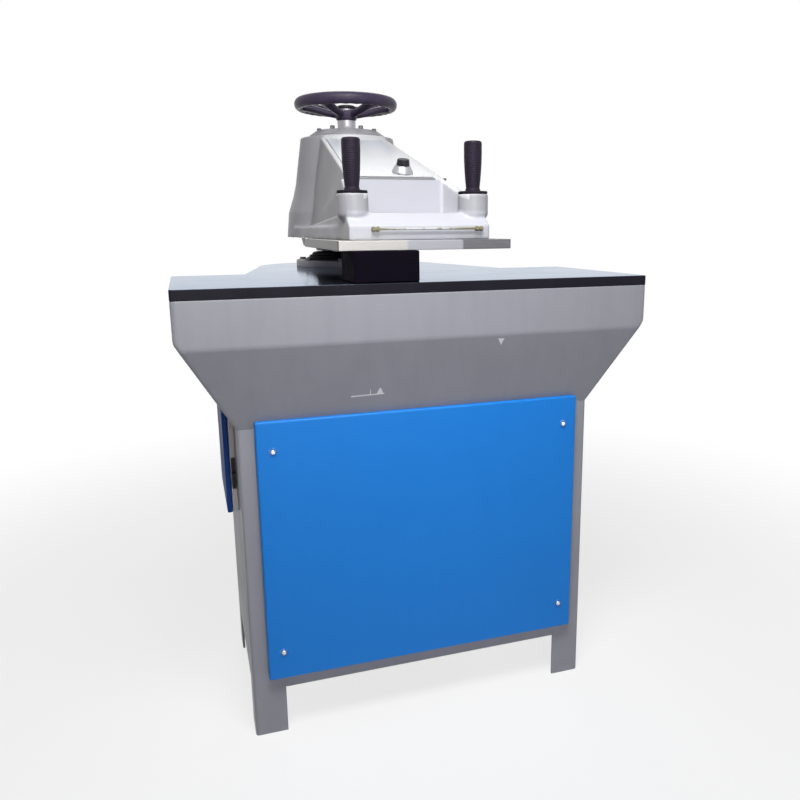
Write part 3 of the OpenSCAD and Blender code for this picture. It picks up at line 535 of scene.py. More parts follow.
face_out = Matrix.Rotation(math.radians(90), 4, "X")
screw_spots = [Matrix.Translation((x, panel_low.y, z)) @ face_out @ Matrix.Rotation(0.7 * x + 9 * z, 4, "Z")
               for x in (screw_low.x + cup_r, screw_high.x - cup_r)
               for z in (screw_low.z + cup_r, screw_high.z - cup_r)]
screw_head = dome_head("screw_head", screw_head_r, screw_head_h, screw_slot_w, screw_slot_deep)
screws = copies("panel_screw_heads", screw_head, screw_spots)
cup_rim = eased([(cup_bore, 0), (cup_r, 0), (cup_r - cup_lip, cup_h), (screw_head_r + cup_gap, cup_h),
                 (cup_bore, cup_edge)], [0, 0, cup_edge, cup_edge, 0])
cups = copies("panel_cup_washers", turned("cup", cup_rim, (0, 0), wrap=True, parts=40), screw_spots)
fit(cups, "frame", "blue_paint",
    enamel("cup_blue_enamel", (0.012, 0.14, 0.48), (0.010, 0.12, 0.42), (0.3, 0.35, 0.45), rough=0.4))


def bare_metal(name, colour, rough, grain=(1.0, 1.0, 1.0), grain_scale=300.0, tarnish=0.25, metallic=1.0):
    """Bare machined metal: brushed or turned grain along the axes with small scale factors, and a cloudy
    tarnish that dulls its gloss."""
    finish, tree, shader, place = blank_finish(name, Metallic=metallic)
    cloud = noise(tree, place, 30.0, 5.0, 0.6)
    lines = noise(tree, add(tree, "Mapping", {"Vector": place, "Scale": grain}).outputs[0], grain_scale, 3.0)
    dull = tuple(0.62 * part for part in colour)
    stain = multiply(tree, ramp(tree, cloud, 0.35, 0.75), tarnish)
    base = blend_colour(tree, stain, (*colour, 1), (*dull, 1))
    base = blend_colour(tree, multiply(tree, ramp(tree, lines, 0.4, 0.7), 0.3), base, (*dull, 1))
    uneven = ramp(tree, lines, 0.3, 0.7, rough - 0.07, rough + 0.09)
    surface(tree, shader, base, uneven, lines, 0.2, 0.00006)
    return finish


zinc = bare_metal("zinc_plated_steel", (0.62, 0.63, 0.65), 0.34, grain_scale=700.0)
fit(screws, "frame", "steel", zinc, "panel_screws")


# Control box: a shallow grey tray on the left wall, closed by a blue door on a rear hinge. On its front side
# sits an upright black switch whose lever tips between two cheeks.
box_low, box_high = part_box("control_box")
box_rim, box_corner = 0.0015, 0.003
fit(box_slab("control_box_tray", box_low, box_high, box_rim, box_corner, "x"), "frame", "grey_paint",
    enamel("box_grey_enamel", (0.44, 0.41, 0.42), (0.40, 0.37, 0.38), (0.5, 0.48, 0.48)), "control_box")

door_low, door_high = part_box("box_door")
hinge_low, hinge_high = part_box("box_hinge")
door_rear = box_high.y
door_rim, door_corner = 0.0025, 0.004
hinge_x, hinge_y = (door_low.x + door_high.x) / 2, (hinge_low.y + hinge_high.y) / 2
pin_bore, knuckle_r, knuckle_h = 0.0031, 0.005, 0.046
tab_half, tab_lap, tab_end, tab_rim, tab_corner = 0.0015, 0.001, 0.0035, 0.0003, 0.0004
door_leaf = (door_high.x, door_rear, door_high.z)
door_pieces = [box_slab("door_leaf", door_low, door_leaf, door_rim, door_corner, "x")]
for z in (hinge_low.z, hinge_high.z - knuckle_h):
    knuckle_rim = [(pin_bore, z), (knuckle_r, z), (knuckle_r, z + knuckle_h), (pin_bore, z + knuckle_h)]
    knuckle = turned("knuckle", eased(knuckle_rim, sheet_rim), (hinge_x, hinge_y), wrap=True, parts=32)
    tab = box_slab("tab", (hinge_x - tab_half, door_rear - tab_lap, z),
                   (hinge_x + tab_half, hinge_y - tab_end, z + knuckle_h), tab_rim, tab_corner, "x")
    door_pieces += [knuckle, tab]
door = joined("blue_box_door", [piece.data for piece in door_pieces])
navy_enamel = enamel("navy_door_enamel", (0.013, 0.050, 0.220), (0.011, 0.043, 0.190), (0.08, 0.13, 0.30),
                     gloss=0.06)
fit(door, "box_door", "blue_paint", navy_enamel, "box_door")


def moulded(name, colour, sheen, rough=0.45, grain=600.0, wear=(0.12, 0.115, 0.12), gloss=0.45):
    """Moulded plastic or rubber: a fine leathery grain, a cloudy bloom towards `sheen` and dusty edges."""
    finish, tree, shader, place = blank_finish(name, Specular_IOR_Level=gloss)
    cloud = noise(tree, place, 26.0, 4.0)
    base = blend_colour(tree, ramp(tree, cloud, 0.35, 0.75), (*colour, 1), (*sheen, 1))
    base = blend_colour(tree, multiply(tree, edge_mask(tree, place, 0.002, 90.0), 0.6), base, (*wear, 1))
    dull = ramp(tree, cloud, 0.3, 0.7, rough - 0.08, rough + 0.1)
    surface(tree, shader, base, dull, noise(tree, place, grain, 2.0), 0.3, 0.0001)
    return finish


switch_black = moulded("moulded_black", (0.009, 0.008, 0.011), (0.015, 0.014, 0.018), rough=0.42, gloss=0.2)
for node in ("switch_plate", "switch_lever"):
    dressed(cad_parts[node], switch_black)


# Pedestal and column: a thick tube on a bolted foot flange stands behind the cabinet and carries the lobe.
# Inside it are the cylinder tube, the guide bush and the chromed ram with its piston.
steel = bare_metal("machined_steel", (0.56, 0.56, 0.58), 0.34, grain=(1.0, 1.0, 12.0), grain_scale=160.0)
chrome = bare_metal("ground_chrome", (0.78, 0.79, 0.81), 0.14, grain=(1.0, 1.0, 20.0), grain_scale=90.0,
                    tarnish=0.1)
bronze = bare_metal("machined_bronze", (0.56, 0.38, 0.17), 0.30, grain=(1.0, 1.0, 14.0), grain_scale=120.0)
seal_black = moulded("seal_rubber", (0.010, 0.010, 0.011), (0.018, 0.017, 0.019), rough=0.6)
carried = {"pedestal": grey_enamel, "column_tube": steel, "tube_cap": steel, "guide_bush": bronze,
           "ram": chrome, "piston": steel, "piston_ring": seal_black, "pivot_sleeve": bronze}
for node, finish in carried.items():
    dressed(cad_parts[node], finish)


# Pump unit in the cabinet: oil tank with its filler, a finned motor on two feet, and the bell housing, gear
# pump, valve block and pipe on its shaft. All of it is hidden behind the panels.
motor_enamel = enamel("motor_enamel", (0.08, 0.20, 0.36), (0.06, 0.15, 0.28), (0.3, 0.32, 0.35))
cast_alloy = bare_metal("cast_alloy", (0.52, 0.53, 0.55), 0.46, grain_scale=500.0, tarnish=0.5)
inside = {"oil_tank": grey_enamel, "motor_body": motor_enamel, "motor_feet": motor_enamel,
          "motor_shaft": steel, "bell_housing": cast_alloy, "gear_pump": cast_alloy, "valve_block": steel,
          "pressure_pipe": zinc, "filler_cap": switch_black}
for node, finish in inside.items():
    dressed(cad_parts[node], finish)


# Ring flange and boot: a turned flange holds the column to the lobe with eight socket screws. A black rubber
# boot with three lips sits on it and wipes the ram.
ring_low, ring_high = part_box("ring_flange")
boot_low, boot_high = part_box("wiper_boot")
ring_r = (ring_high.x - ring_low.x) / 2
boot_r = (boot_high.x - boot_low.x) / 2
boot_top_r = 0.092
ram_r = (column_high.x - column_low.x) / 2
lip_gap = 0.0003
ring_outline = [(ram_r + lip_gap, ring_low.z), (ring_r, ring_low.z), (ring_r, ring_high.z),
                (ram_r + lip_gap, ring_high.z)]
ring = turned("turned_ring_flange", eased(ring_outline, [0.001, 0.0008, 0.004, 0.001]), column, wrap=True,
              parts=128)


def silver_coat(name, colour, shade, darkening):
    """Silver grey paint on a casting: a pebbled coat, soft clouds, and hollows darkened by dirt and painted
    shade, which the mesh's own curvature shows."""
    finish, tree, shader, place = blank_finish(name, Specular_IOR_Level=0.4)
    cloud = noise(tree, place, 7.0, 5.0, 0.6)
    base = blend_colour(tree, ramp(tree, cloud, 0.35, 0.7), (*shade, 1), (*colour, 1))
    # Dirt and painted shade: the hollows, found from the mesh's curvature, are darkened.
    hollow = add(tree, "NewGeometry").outputs["Pointiness"]
    hollow_dirt_and_shade = multiply(tree, ramp(tree, hollow, 0.49, 0.455),
                    ramp(tree, noise(tree, place, 24.0, 4.0), 0.3, 0.7), 0.55)
    base = blend_colour(tree, hollow_dirt_and_shade, base, (*darkening, 1))
    speck = ramp(tree, noise(tree, place, 700.0, 2.0), 0.68, 0.76)
    base = blend_colour(tree, multiply(tree, speck, 0.22), base, (*darkening, 1))
    dull = ramp(tree, cloud, 0.3, 0.7, 0.33, 0.49)
    pebble = add(tree, "Math", {0: noise(tree, place, 260.0, 3.0), 1: noise(tree, place, 60.0, 2.0)},
                 operation="ADD").outputs[0]
    surface(tree, shader, base, dull, pebble, 0.3, 0.00025)
    return finish


ring_coat = silver_coat("ring_grey_coat", (0.58, 0.55, 0.59), (0.52, 0.49, 0.53), (0.24, 0.23, 0.23))
fit(ring, "frame", "silver_paint", ring_coat, "ring_flange")

lips, lip_share, lip_ease = 3, 0.55, 0.0022
lip_step = (boot_r - boot_top_r) / lips
lip_rise = (boot_high.z - boot_low.z) / lips
lip_corners = [(boot_r - k * lip_step, boot_low.z + (k + lip_share) * lip_rise) for k in range(lips)]
lip_roots = [(boot_r - (k + 1) * lip_step, boot_low.z + (k + 1) * lip_rise) for k in range(lips)]
boot_outline = [(ram_r + lip_gap, boot_low.z), (boot_r, boot_low.z)]
boot_outline += [point for pair in zip(lip_corners, lip_roots) for point in pair]
boot_outline += [(ram_r + lip_gap, boot_high.z)]
boot = turned("rubber_boot", eased(boot_outline, lip_ease), column, wrap=True, parts=128)
rubber = moulded("matt_rubber", (0.008, 0.006, 0.010), (0.013, 0.010, 0.015), rough=0.65, grain=900.0,
                 gloss=0.1)
fit(boot, "frame", "rubber", rubber, "wiper_boot")

ring_bolts, ring_turn = 8, math.radians(22.5)
bolt_low, bolt_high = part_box("ring_bolts")
socket_r, socket_h, socket_edge = 0.008, 0.005, 0.0012


def socket_head(name, radius, height, sides=40):
    """Cylinder head on the origin with an eased rim and a six-sided socket."""
    outline = eased([(0, 0), (radius, 0), (radius, height), (0, height)], [0, 0, socket_edge, 0])
    head = turned(name, outline, (0, 0), parts=sides)
    flats, floor, above = 0.5 * radius, 0.4 * height, height + cut_past
    key = turned("key", [(0, floor), (flats, floor), (flats, above), (0, above)], (0, 0), parts=6)
    combined(head, "DIFFERENCE", key)
    head.modifiers.clear()
    return head


def bolt_circle(level, radius, count, turn):
    """Places of `count` bolts round the column, at that level and radius."""
    return [Matrix.Translation((*column, level)) @ Matrix.Rotation(turn + 2 * math.pi * k / count, 4, "Z")
            @ Matrix.Translation((radius, 0, 0)) for k in range(count)]


ring_bolt_r = ((bolt_high.x - bolt_low.x) / 2 - socket_r) / math.cos(ring_turn)
ring_places = bolt_circle(ring_high.z, ring_bolt_r, ring_bolts, ring_turn)
black_oxide = bare_metal("black_oxide", (0.09, 0.09, 0.095), 0.36, grain_scale=500.0, metallic=0.7)
ring_screws = copies("ring_socket_screws", socket_head("socket", socket_r, socket_h), ring_places)
fit(ring_screws, "frame", "dark_bolt", black_oxide, "ring_bolts")


# Rest block: a square black block on the table under the front of the arm, put there as painted shade: it
# stands for the deep shade under the arm. Only its edges are a little worn.
block_low, block_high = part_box("rest_block")
block_rim, block_corner = 0.002, 0.003
fit(box_slab("painted_shade_block", block_low, block_high, block_rim, block_corner, "z"), "frame", "rubber",
    moulded("painted_shade_black", (0.0030, 0.0021, 0.0055), (0.0045, 0.003, 0.0075), rough=0.7, grain=300.0,
            wear=(0.012, 0.010, 0.016), gloss=0.03), "rest_block")


# Arm: one iron casting. A flared hub turns on the column, a hollow wedge tower runs forward from it under a
# sloping roof, ribs reach on to two handle bosses, and a low ledge with a sloping shoulder closes the front.
arm_low, arm_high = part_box("arm_casting")
boss_low, boss_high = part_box("left_collar")
bore_low, bore_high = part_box("pivot_sleeve")
handle = np.array([-(boss_low.x + boss_high.x) / 2, (boss_low.y + boss_high.y) / 2])
front_y = cabinet_low.y
tower_y = front_y + 0.172
roof_end_y = column[1] - 0.070
tower_rear_y = column[1] - 0.020
ledge_y = front_y + 0.003
ledge_half = 0.137
ledge_top = arm_low.z + 0.026
shoulder_top = ledge_top + 0.023
shoulder_run = 0.036
boss_r = 0.0295
boss_top = boss_low.z
hub_low_r = arm_high.x
hub_top_r = 0.118
hub_steps = ((hub_low_r - 0.006, 0.25), (hub_low_r - 0.019, 0.41), (hub_top_r + 0.017, 0.54))
roof_low_z = arm_low.z + 0.122
roof_high_z = arm_high.z - 0.002
roof_lean = math.atan((roof_high_z - roof_low_z) / (roof_end_y - tower_y))
tower_half, tower_rear_half = 0.108, hub_top_r + 0.008
roof_half = 0.102
roof_top_half = 0.082
rib_t = 0.016
rib_drop = 0.012
rib_in = 0.004
rib_tail = 0.060
rib_tail_t = 0.002
arm_wall = 0.014
sleeve_r = (bore_high.x - bore_low.x) / 2
sleeve_bore = sleeve_r + 0.0004
solid_edge = 0.0005
arm_cube = 0.0026
arm_ease = 3
arm_share = 0.55


def lofted(name, sections):
    """Closed profiles with equally many points carried from one section to the next, capped at both ends."""
    return grid_piece(name, np.array(sections, float))


def tower_loft(name, inset, foot):
    """Cross sections (half width at the foot and at the roof, roof height) at the tower's front, at the end
    of its roof and at its rear, all drawn in by `inset`."""
    low_front, low_rear = tower_half - inset, tower_rear_half - inset
    stations = np.array([tower_y + inset, roof_end_y, tower_rear_y - inset])
    low_half = np.interp(stations, stations[[0, 2]], [low_front, low_rear])
    top_half = np.array([roof_half, roof_top_half, roof_top_half]) - inset
    top = np.array([roof_low_z, roof_high_z, roof_high_z]) - inset
    x = np.stack([-low_half, low_half, top_half, -top_half], 1)
    z = np.stack([np.full(3, foot), np.full(3, foot), top, top], 1)
    return lofted(name, np.stack([x, np.broadcast_to(stations[:, None], x.shape), z], -1))


def rib(name, side):
    """Upright bar that rises from a boss to the tower's corner and runs on into the tower's wall."""
    ends = ((handle[1], handle[0] - rib_t / 2, rib_t, boss_top - rib_drop),
            (tower_y + rib_in, roof_half - rib_in, rib_t, roof_low_z - rib_in),
            (tower_y + rib_tail, roof_half - 2.5 * rib_in, rib_tail_t, roof_low_z - rib_in))
    foot = arm_low.z + 0.01
    return lofted(name, [[(side * x, y, foot), (side * (x + wide), y, foot), (side * (x + wide), y, top),
                          (side * x, y, top)] for y, x, wide, top in ends])


def hub_profile():
    """Flared hub: the radius falls from the foot to the upper face, in steps of (radius, share of height)."""
    tall = arm_high.z - arm_low.z
    steps = [(radius, arm_low.z + share * tall) for radius, share in hub_steps]
    return [(0, arm_low.z), (hub_low_r, arm_low.z), *steps, (hub_top_r, arm_high.z), (0, arm_high.z)]


def in_cubes(piece, cube):
    """Adds the step that rebuilds a piece in cubes of that size."""
    rebuild = piece.modifiers.new("rebuild", "REMESH")
    rebuild.mode = "VOXEL"
    rebuild.voxel_size = cube


def cast(name, solids, cutters, cube, ease, share=1.0):
    """One casting from overlapping closed solids: they are joined, cut, rebuilt in cubes of size `cube` and
    smoothed `ease` times, which rounds each inner and outer corner into a fillet of a few cubes. At the end
    the faces are thinned to a share of their number."""
    body = joined(name, [solid.data for solid in solids])
    in_cubes(body, cube)
    settled(body)
    for cutter in cutters:
        combined(body, "DIFFERENCE", cutter)
        body.modifiers.clear()
    in_cubes(body, cube)
    soften = body.modifiers.new("soften", "SMOOTH")
    soften.factor = 0.5
    soften.iterations = ease
    body.modifiers.new("thin", "DECIMATE").ratio = share
    return settled(body, 180)


ledge_rear_half, ledge_rear, ledge_corner = hub_low_r - 0.006, column[1] - 0.05, 0.004
ledge_plan = [(-ledge_half, ledge_y), (ledge_half, ledge_y), (ledge_rear_half, ledge_rear),
              (-ledge_rear_half, ledge_rear)]
ledge = slab("ledge", eased(ledge_plan, ledge_corner), arm_low.z, ledge_top, solid_edge)
shoulder_y, shoulder_rear, shoulder_foot = ledge_y + shoulder_run, column[1] - hub_low_r, ledge_top - 0.01
shoulder_side = [(ledge_y, shoulder_foot), (ledge_y, ledge_top), (shoulder_y, shoulder_top),
                 (shoulder_y + boss_r, shoulder_top), (shoulder_rear, ledge_top),
                 (shoulder_rear, shoulder_foot)]
shoulder = slab("shoulder", shoulder_side, -ledge_half, ledge_half, solid_edge, "x")
hub = turned("hub", hub_profile(), column)
boss_tip_r, boss_tip, boss_root = 0.006, shoulder_top - 0.036, shoulder_top - 0.004
boss_rim = [(0, boss_tip), (boss_tip_r, boss_tip), (boss_r, boss_root), (boss_r, boss_top), (0, boss_top)]
bosses = [turned("boss", boss_rim, (side * handle[0], handle[1]), parts=64) for side in (-1, 1)]
ribs = [rib("rib", side) for side in (-1, 1)]
core = rod("core", sleeve_r + arm_wall, arm_low.z - 2 * cut_past, arm_high.z - 0.01, column)
cavity = combined(tower_loft("cavity", arm_wall, arm_low.z - cut_past / 2), "DIFFERENCE", core)
bore = rod("bore", sleeve_bore, arm_low.z - 2 * cut_past, arm_high.z + 2 * cut_past, column)
arm_solids = [ledge, shoulder, tower_loft("tower", 0, arm_low.z), hub, *bosses, *ribs]
arm = cast("arm_casting_body", arm_solids, (cavity, bore), arm_cube, arm_ease, arm_share)
silver = silver_coat("silver_arm_coat", (0.33, 0.325, 0.35), (0.30, 0.295, 0.32), (0.15, 0.14, 0.13))
# In front of the tower the coat is painted paler than on the flanks as painted light, and palest inside
# the right rib as a painted highlight; the ledge's face is painted darker again as painted shade. The roof
# beside the cover is painted in the cover's pale tone as painted light, and a dark line runs along the seam
# in front of it.
front_light_tone, ledge_shade_tone, rib_light_tone = (0.42, 0.427, 0.472, 1), (0.40, 0.405, 0.44, 1), (0.66, 0.665, 0.70, 1)
roof_light_tone, seam_tone = (0.51, 0.515, 0.53, 1), (0.09, 0.09, 0.10, 1)
rib_inside = 0.112
seam_y, seam_left, seam_right = tower_y + 0.002, -0.098, 0.086
tree, shader, place, base = reopened(silver)
split = add(tree, "SeparateXYZ", {0: place})
x, y, z = [split.outputs[axis] for axis in "XYZ"]
beside = add(tree, "Math", {0: x}, operation="ABSOLUTE").outputs[0]
# Painted light: the faces in front of the tower are painted paler than the flanks.
ahead = ramp(tree, y, tower_y + 0.030, tower_y - 0.002)
past_boss = ramp(tree, y, handle[1] + 0.020, handle[1] + 0.032)
within = ramp(tree, beside, ledge_half - 0.0008, ledge_half - 0.0018)
between = ramp(tree, beside, rib_inside + 0.010, rib_inside)
front_painted_light = multiply(tree, ahead, blend_colour(tree, past_boss, within, between))
upper = multiply(tree, ramp(tree, z, shoulder_top, shoulder_top + 0.008), ramp(tree, past_boss, 0.5, 0.0))
base = blend_colour(tree, multiply(tree, front_painted_light, ramp(tree, upper, 0, 1, 0.85, 0.2)), base, front_light_tone)
# Painted shade: the ledge's upright face is painted darker.
ledge_painted_shade = multiply(tree, ramp(tree, y, ledge_y + 0.005, ledge_y + 0.003),
                      ramp(tree, z, ledge_top, ledge_top - 0.003), within)
base = blend_colour(tree, ledge_painted_shade, base, ledge_shade_tone)
# Painted highlight: the inner face of the right rib is painted palest.
rib_painted_light = multiply(tree, front_painted_light, past_boss, ramp(tree, x, rib_inside - 0.020, rib_inside - 0.012), 0.9)
base = blend_colour(tree, rib_painted_light, base, rib_light_tone)
# Painted light: the roof beside the cover is painted in the cover's pale tone.
climb = add(tree, "Math", {0: y, 1: -math.tan(roof_lean), 2: z}, operation="MULTIPLY_ADD").outputs[0]
slope_top = roof_low_z - tower_y * math.tan(roof_lean)
roof = multiply(tree, ramp(tree, climb, slope_top - 0.004, slope_top - 0.002),
                ramp(tree, beside, roof_half + 0.002, roof_half),
                ramp(tree, y, column[1] - 0.085, column[1] - 0.095))
base = blend_colour(tree, roof, base, roof_light_tone)
seam = multiply(tree, ramp(tree, y, seam_y - 0.0045, seam_y - 0.0035), ramp(tree, y, seam_y + 0.001, seam_y),
                ramp(tree, climb, slope_top - 0.0048, slope_top - 0.0040),
                ramp(tree, x, seam_right, seam_right - 0.004),
                ramp(tree, x, seam_left, seam_left + 0.004), 0.85)
base = blend_colour(tree, seam, base, seam_tone)
tree.links.new(base, shader.inputs["Base Color"])
fit(arm, "arm", "silver_paint", silver, "arm_casting")


# Bearing flange and hub cap: turned and painted with the arm. The flange closes the hub from below, and six
# small hex bolts hold the coned cap on top of it.
flange_low, flange_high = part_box("bearing_flange")
bearing_r = (flange_high.x - flange_low.x) / 2
nose_r, nose_h = 0.090, 0.012
flange_draft = 0.005
flange_outline = [(sleeve_bore, flange_low.z), (nose_r, flange_low.z), (nose_r, flange_low.z + nose_h),
                  (bearing_r - flange_draft, flange_low.z + nose_h), (bearing_r, flange_high.z),
                  (sleeve_bore, flange_high.z)]
flange_outline = eased(flange_outline, [0.001, 0.002, 0.002, 0.0025, 0.001, 0.001])
flange = turned("turned_bearing_flange", flange_outline, column, wrap=True, parts=128)
flange_coat = silver_coat("flange_coat", (0.30, 0.295, 0.315), (0.26, 0.255, 0.275), (0.14, 0.13, 0.13))
fit(flange, "arm", "silver_paint", flange_coat, "bearing_flange")

cap_low, cap_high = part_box("hub_cap")
cap_r = (cap_high.x - cap_low.x) / 2
cap_top_r = 0.078
cap_rim = 0.006
cap_bore = 0.0152
cap_top = cap_high.z - 0.006
cap_outline = [(cap_bore, cap_low.z), (cap_r, cap_low.z), (cap_r, cap_low.z + cap_rim), (cap_top_r, cap_top),
               (cap_bore, cap_top)]
cap = turned("coned_hub_cap", eased(cap_outline, [0.0008, 0.001, 0.0025, 0.003, 0.001]), column, wrap=True,
             parts=128)
fit(cap, "arm", "silver_paint", flange_coat, "hub_cap")

cap_bolts, cap_bolt_turn, cap_bolt_in, cap_bolt_sunk = 6, math.radians(48), 0.008, 0.0002
hex_r, hex_h, hex_edge = 0.0058, 0.008, 0.0012
cap_places = bolt_circle(cap_top - cap_bolt_sunk, cap_top_r - cap_bolt_in, cap_bolts, cap_bolt_turn)
hex_rim = [(0, 0), (hex_r, 0), (hex_r, hex_h - hex_edge), (hex_r - hex_edge, hex_h), (0, hex_h)]
hex_bolts = copies("cap_hex_bolts", turned("hex", hex_rim, (0, 0), parts=6, smooth_deg=20), cap_places)
fit(hex_bolts, "arm", "dark_bolt", black_oxide, "cap_bolts")


# Roof cover: a pale painted sheet screwed on the sloping roof, with its upper end cut in an arc round the
# hub. It holds the depth knob on a turned steel base.
on_roof = Matrix.Translation((0, tower_y, roof_low_z)) @ Matrix.Rotation(roof_lean, 4, "X")
cover_half = roof_half - 0.022
cover_l = 0.372
cover_t = 0.003
cover_lift, cover_edge, cover_corner = 0.0001, 0.0009, 0.004
cover_clear = 0.006
cover_more = 0.013
cover_draw = (roof_half - roof_top_half) / (roof_end_y - tower_y)
cover_front = 0.002
cover_end = cover_half - cover_l * cover_draw


def cover_plan():
    """The cover on the roof's slope: straight sides that draw together, the left one further out, and at the
    upper end the arc of points whose distance from the column is the hub's radius and a gap, so that they lie
    at (c - sqrt(R^2 - x^2) - tower) / cos lean up the slope."""
    x = np.linspace(cover_end, -cover_end, 33)
    x = np.where(x < 0, x * (cover_end + cover_more) / cover_end, x)
    arc = column[1] - np.sqrt((hub_top_r + cover_clear) ** 2 - x**2) - tower_y
    up = np.minimum(arc / math.cos(roof_lean), cover_front + cover_l)
    front = [(-cover_half - cover_more, cover_front), (cover_half, cover_front)]
    return eased(np.concatenate([front, np.stack([x, up], 1)]), [cover_corner] * 2 + [0] * len(x))


cover = slab("pale_roof_cover", cover_plan(), cover_lift, cover_t + cover_lift, cover_edge)
cover.data.transform(on_roof)
cover_coat = enamel("pale_cover_enamel", (0.55, 0.555, 0.57), (0.53, 0.535, 0.55), (0.48, 0.48, 0.49),
                    rough=0.36, worn=0.3)
tree, shader, place, base = reopened(cover_coat)
# Painted shade: up the slope towards the hub the cover is painted darker and bluer.
darkening = ramp(tree, add(tree, "SeparateXYZ", {0: place}).outputs["Y"], tower_y + 0.13, tower_y + 0.32)
base = blend_colour(tree, multiply(tree, darkening, 0.7), base, (0.38, 0.40, 0.47, 1))
tree.links.new(base, shader.inputs["Base Color"])
fit(cover, "arm", "steel", cover_coat, "roof_cover")

cover_screw_in, cover_screw_low, cover_screw_high = 0.012, 0.014, cover_l - 0.040
cover_spots = [(side * (cover_half - cover_screw_in - y * cover_draw), cover_front + y) for side in (-1, 1)
               for y in (cover_screw_low, cover_screw_high)]
cover_places = [on_roof @ Matrix.Translation((x, y, cover_t + cover_lift)) @ Matrix.Rotation(20 * y, 4, "Z")
                for x, y in cover_spots]
cover_screw = dome_head("cover_screw", 0.005, 0.0012, 0.0010, 0.0008)
cover_heads = copies("cover_screw_heads", cover_screw, cover_places)
fit(cover_heads, "arm", "steel", cover_coat, "cover_screws")

knob_x, knob_y = 0.020, tower_y + 0.025
knob_z = roof_low_z + (knob_y - tower_y) * math.tan(roof_lean)
at_knob = (Matrix.Translation((knob_x, knob_y, knob_z)) @ Matrix.Rotation(roof_lean, 4, "X")
           @ Matrix.Translation((0, 0, cover_t + cover_lift)))
knob_r, knob_h, knob_gap = 0.014, 0.012, 0.0005
base_r, base_h, base_rim, base_edge = 0.022, 0.016, 0.004, 0.0015
base_outline = eased([(0, 0), (base_r, 0), (base_r, base_rim), (knob_r + 0.001, base_h), (0, base_h)],
                     [0, 0, base_edge, base_edge, 0])
knob_seat = turned("knob_seat", base_outline, (0, 0), parts=64)
knob_seat.data.transform(at_knob)
bright_turned = bare_metal("bright_turned_steel", (0.44, 0.44, 0.47), 0.36, grain_scale=500.0, tarnish=0.2)
fit(knob_seat, "arm", "steel", bright_turned, "knob_base")

flutes, flute_deep, flute_from, flute_run = 12, 0.07, 0.0005, 0.002
around = np.linspace(0, 2 * math.pi, 144, endpoint=False)
knob_profile = eased([(0, 0), (knob_r, 0), (knob_r - 0.002, knob_h), (0, knob_h)], [0, 0.001, 0.002, 0])
cut_in = flute_deep * np.clip((knob_profile[:, 1:] - flute_from) / flute_run, 0, 1)
radius = knob_profile[:, :1] * (1 - cut_in * np.cos(flutes * around / 2) ** 8)
height = np.broadcast_to(knob_profile[:, 1:] + base_h + knob_gap, radius.shape)
knob_points = np.stack([radius * np.cos(around), radius * np.sin(around), height], -1)
knob = grid_piece("fluted_depth_knob", knob_points)
knob.data.transform(at_knob)
fit(knob, "depth_knob", "black_plastic", switch_black, "depth_knob")


# Corner screw: a small socket head of blackened steel at the roof's right front corner. It is driven down
# into the end of the rib beside the cover.
corner_r, corner_h, corner_out = 0.0036, 0.005, 0.003
corner_screw = socket_head("roof_corner_screw", corner_r, corner_h, 24)
corner_screw.data.transform(Matrix.Translation((roof_half + corner_out, tower_y + corner_out,
                                                roof_low_z - corner_h)))
fit(corner_screw, "arm", "dark_bolt", black_oxide)


# Striking plate: a thick bare aluminium plate screwed under the arm and scuffed by years of dies. Its front
# edge is painted from a pale cream at the left to a dull grey at the right as painted reflection, and its
# left end is painted dark as painted shade.
strike_low, strike_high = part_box("striking_plate")
strike_rim, strike_corner = 0.0012, 0.003
lit_cream, plain, shaded_grey = (0.40, 0.39, 0.37, 1), (0.29, 0.30, 0.325, 1), (0.105, 0.105, 0.115, 1)
end_shade, scuffed = (0.10, 0.09, 0.085, 1), (0.30, 0.29, 0.28, 1)
cream_to, shaded_from, tone_blur = -0.037, 0.069, 0.005
strike = box_slab("aluminium_striking_plate", strike_low, strike_high, strike_rim, strike_corner, "z")
plate_painted_light, tree, shader, place = blank_finish("aluminium_painted_light", Metallic=0.15)
across = add(tree, "SeparateXYZ", {0: place}).outputs["X"]
wander = multiply(tree, noise(tree, place, 20.0, 4.0), 0.006)
wander = add(tree, "Math", {0: across, 1: wander}, operation="ADD").outputs[0]
# Painted reflection: pale cream at the left, dull grey at the right; the left end in painted shade.
base = blend_colour(tree, ramp(tree, wander, cream_to, cream_to + tone_blur), lit_cream, plain)
base = blend_colour(tree, ramp(tree, wander, shaded_from, shaded_from + tone_blur), base, shaded_grey)
base = blend_colour(tree, ramp(tree, across, strike_low.x + 0.003, strike_low.x + 0.001), base, end_shade)
drawn = add(tree, "Mapping", {"Vector": place, "Scale": (1.0, 9.0, 9.0)}).outputs[0]
scuff = ramp(tree, noise(tree, drawn, 40.0, 5.0), 0.55, 0.72)
base = blend_colour(tree, multiply(tree, scuff, 0.22), base, scuffed)
tree.links.new(base, shader.inputs["Base Color"])
tree.links.new(ramp(tree, scuff, 0, 1, 0.36, 0.52), shader.inputs["Roughness"])
fit(strike, "arm", "aluminium", plate_painted_light, "striking_plate")
dressed(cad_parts["strike_screws"], black_oxide)


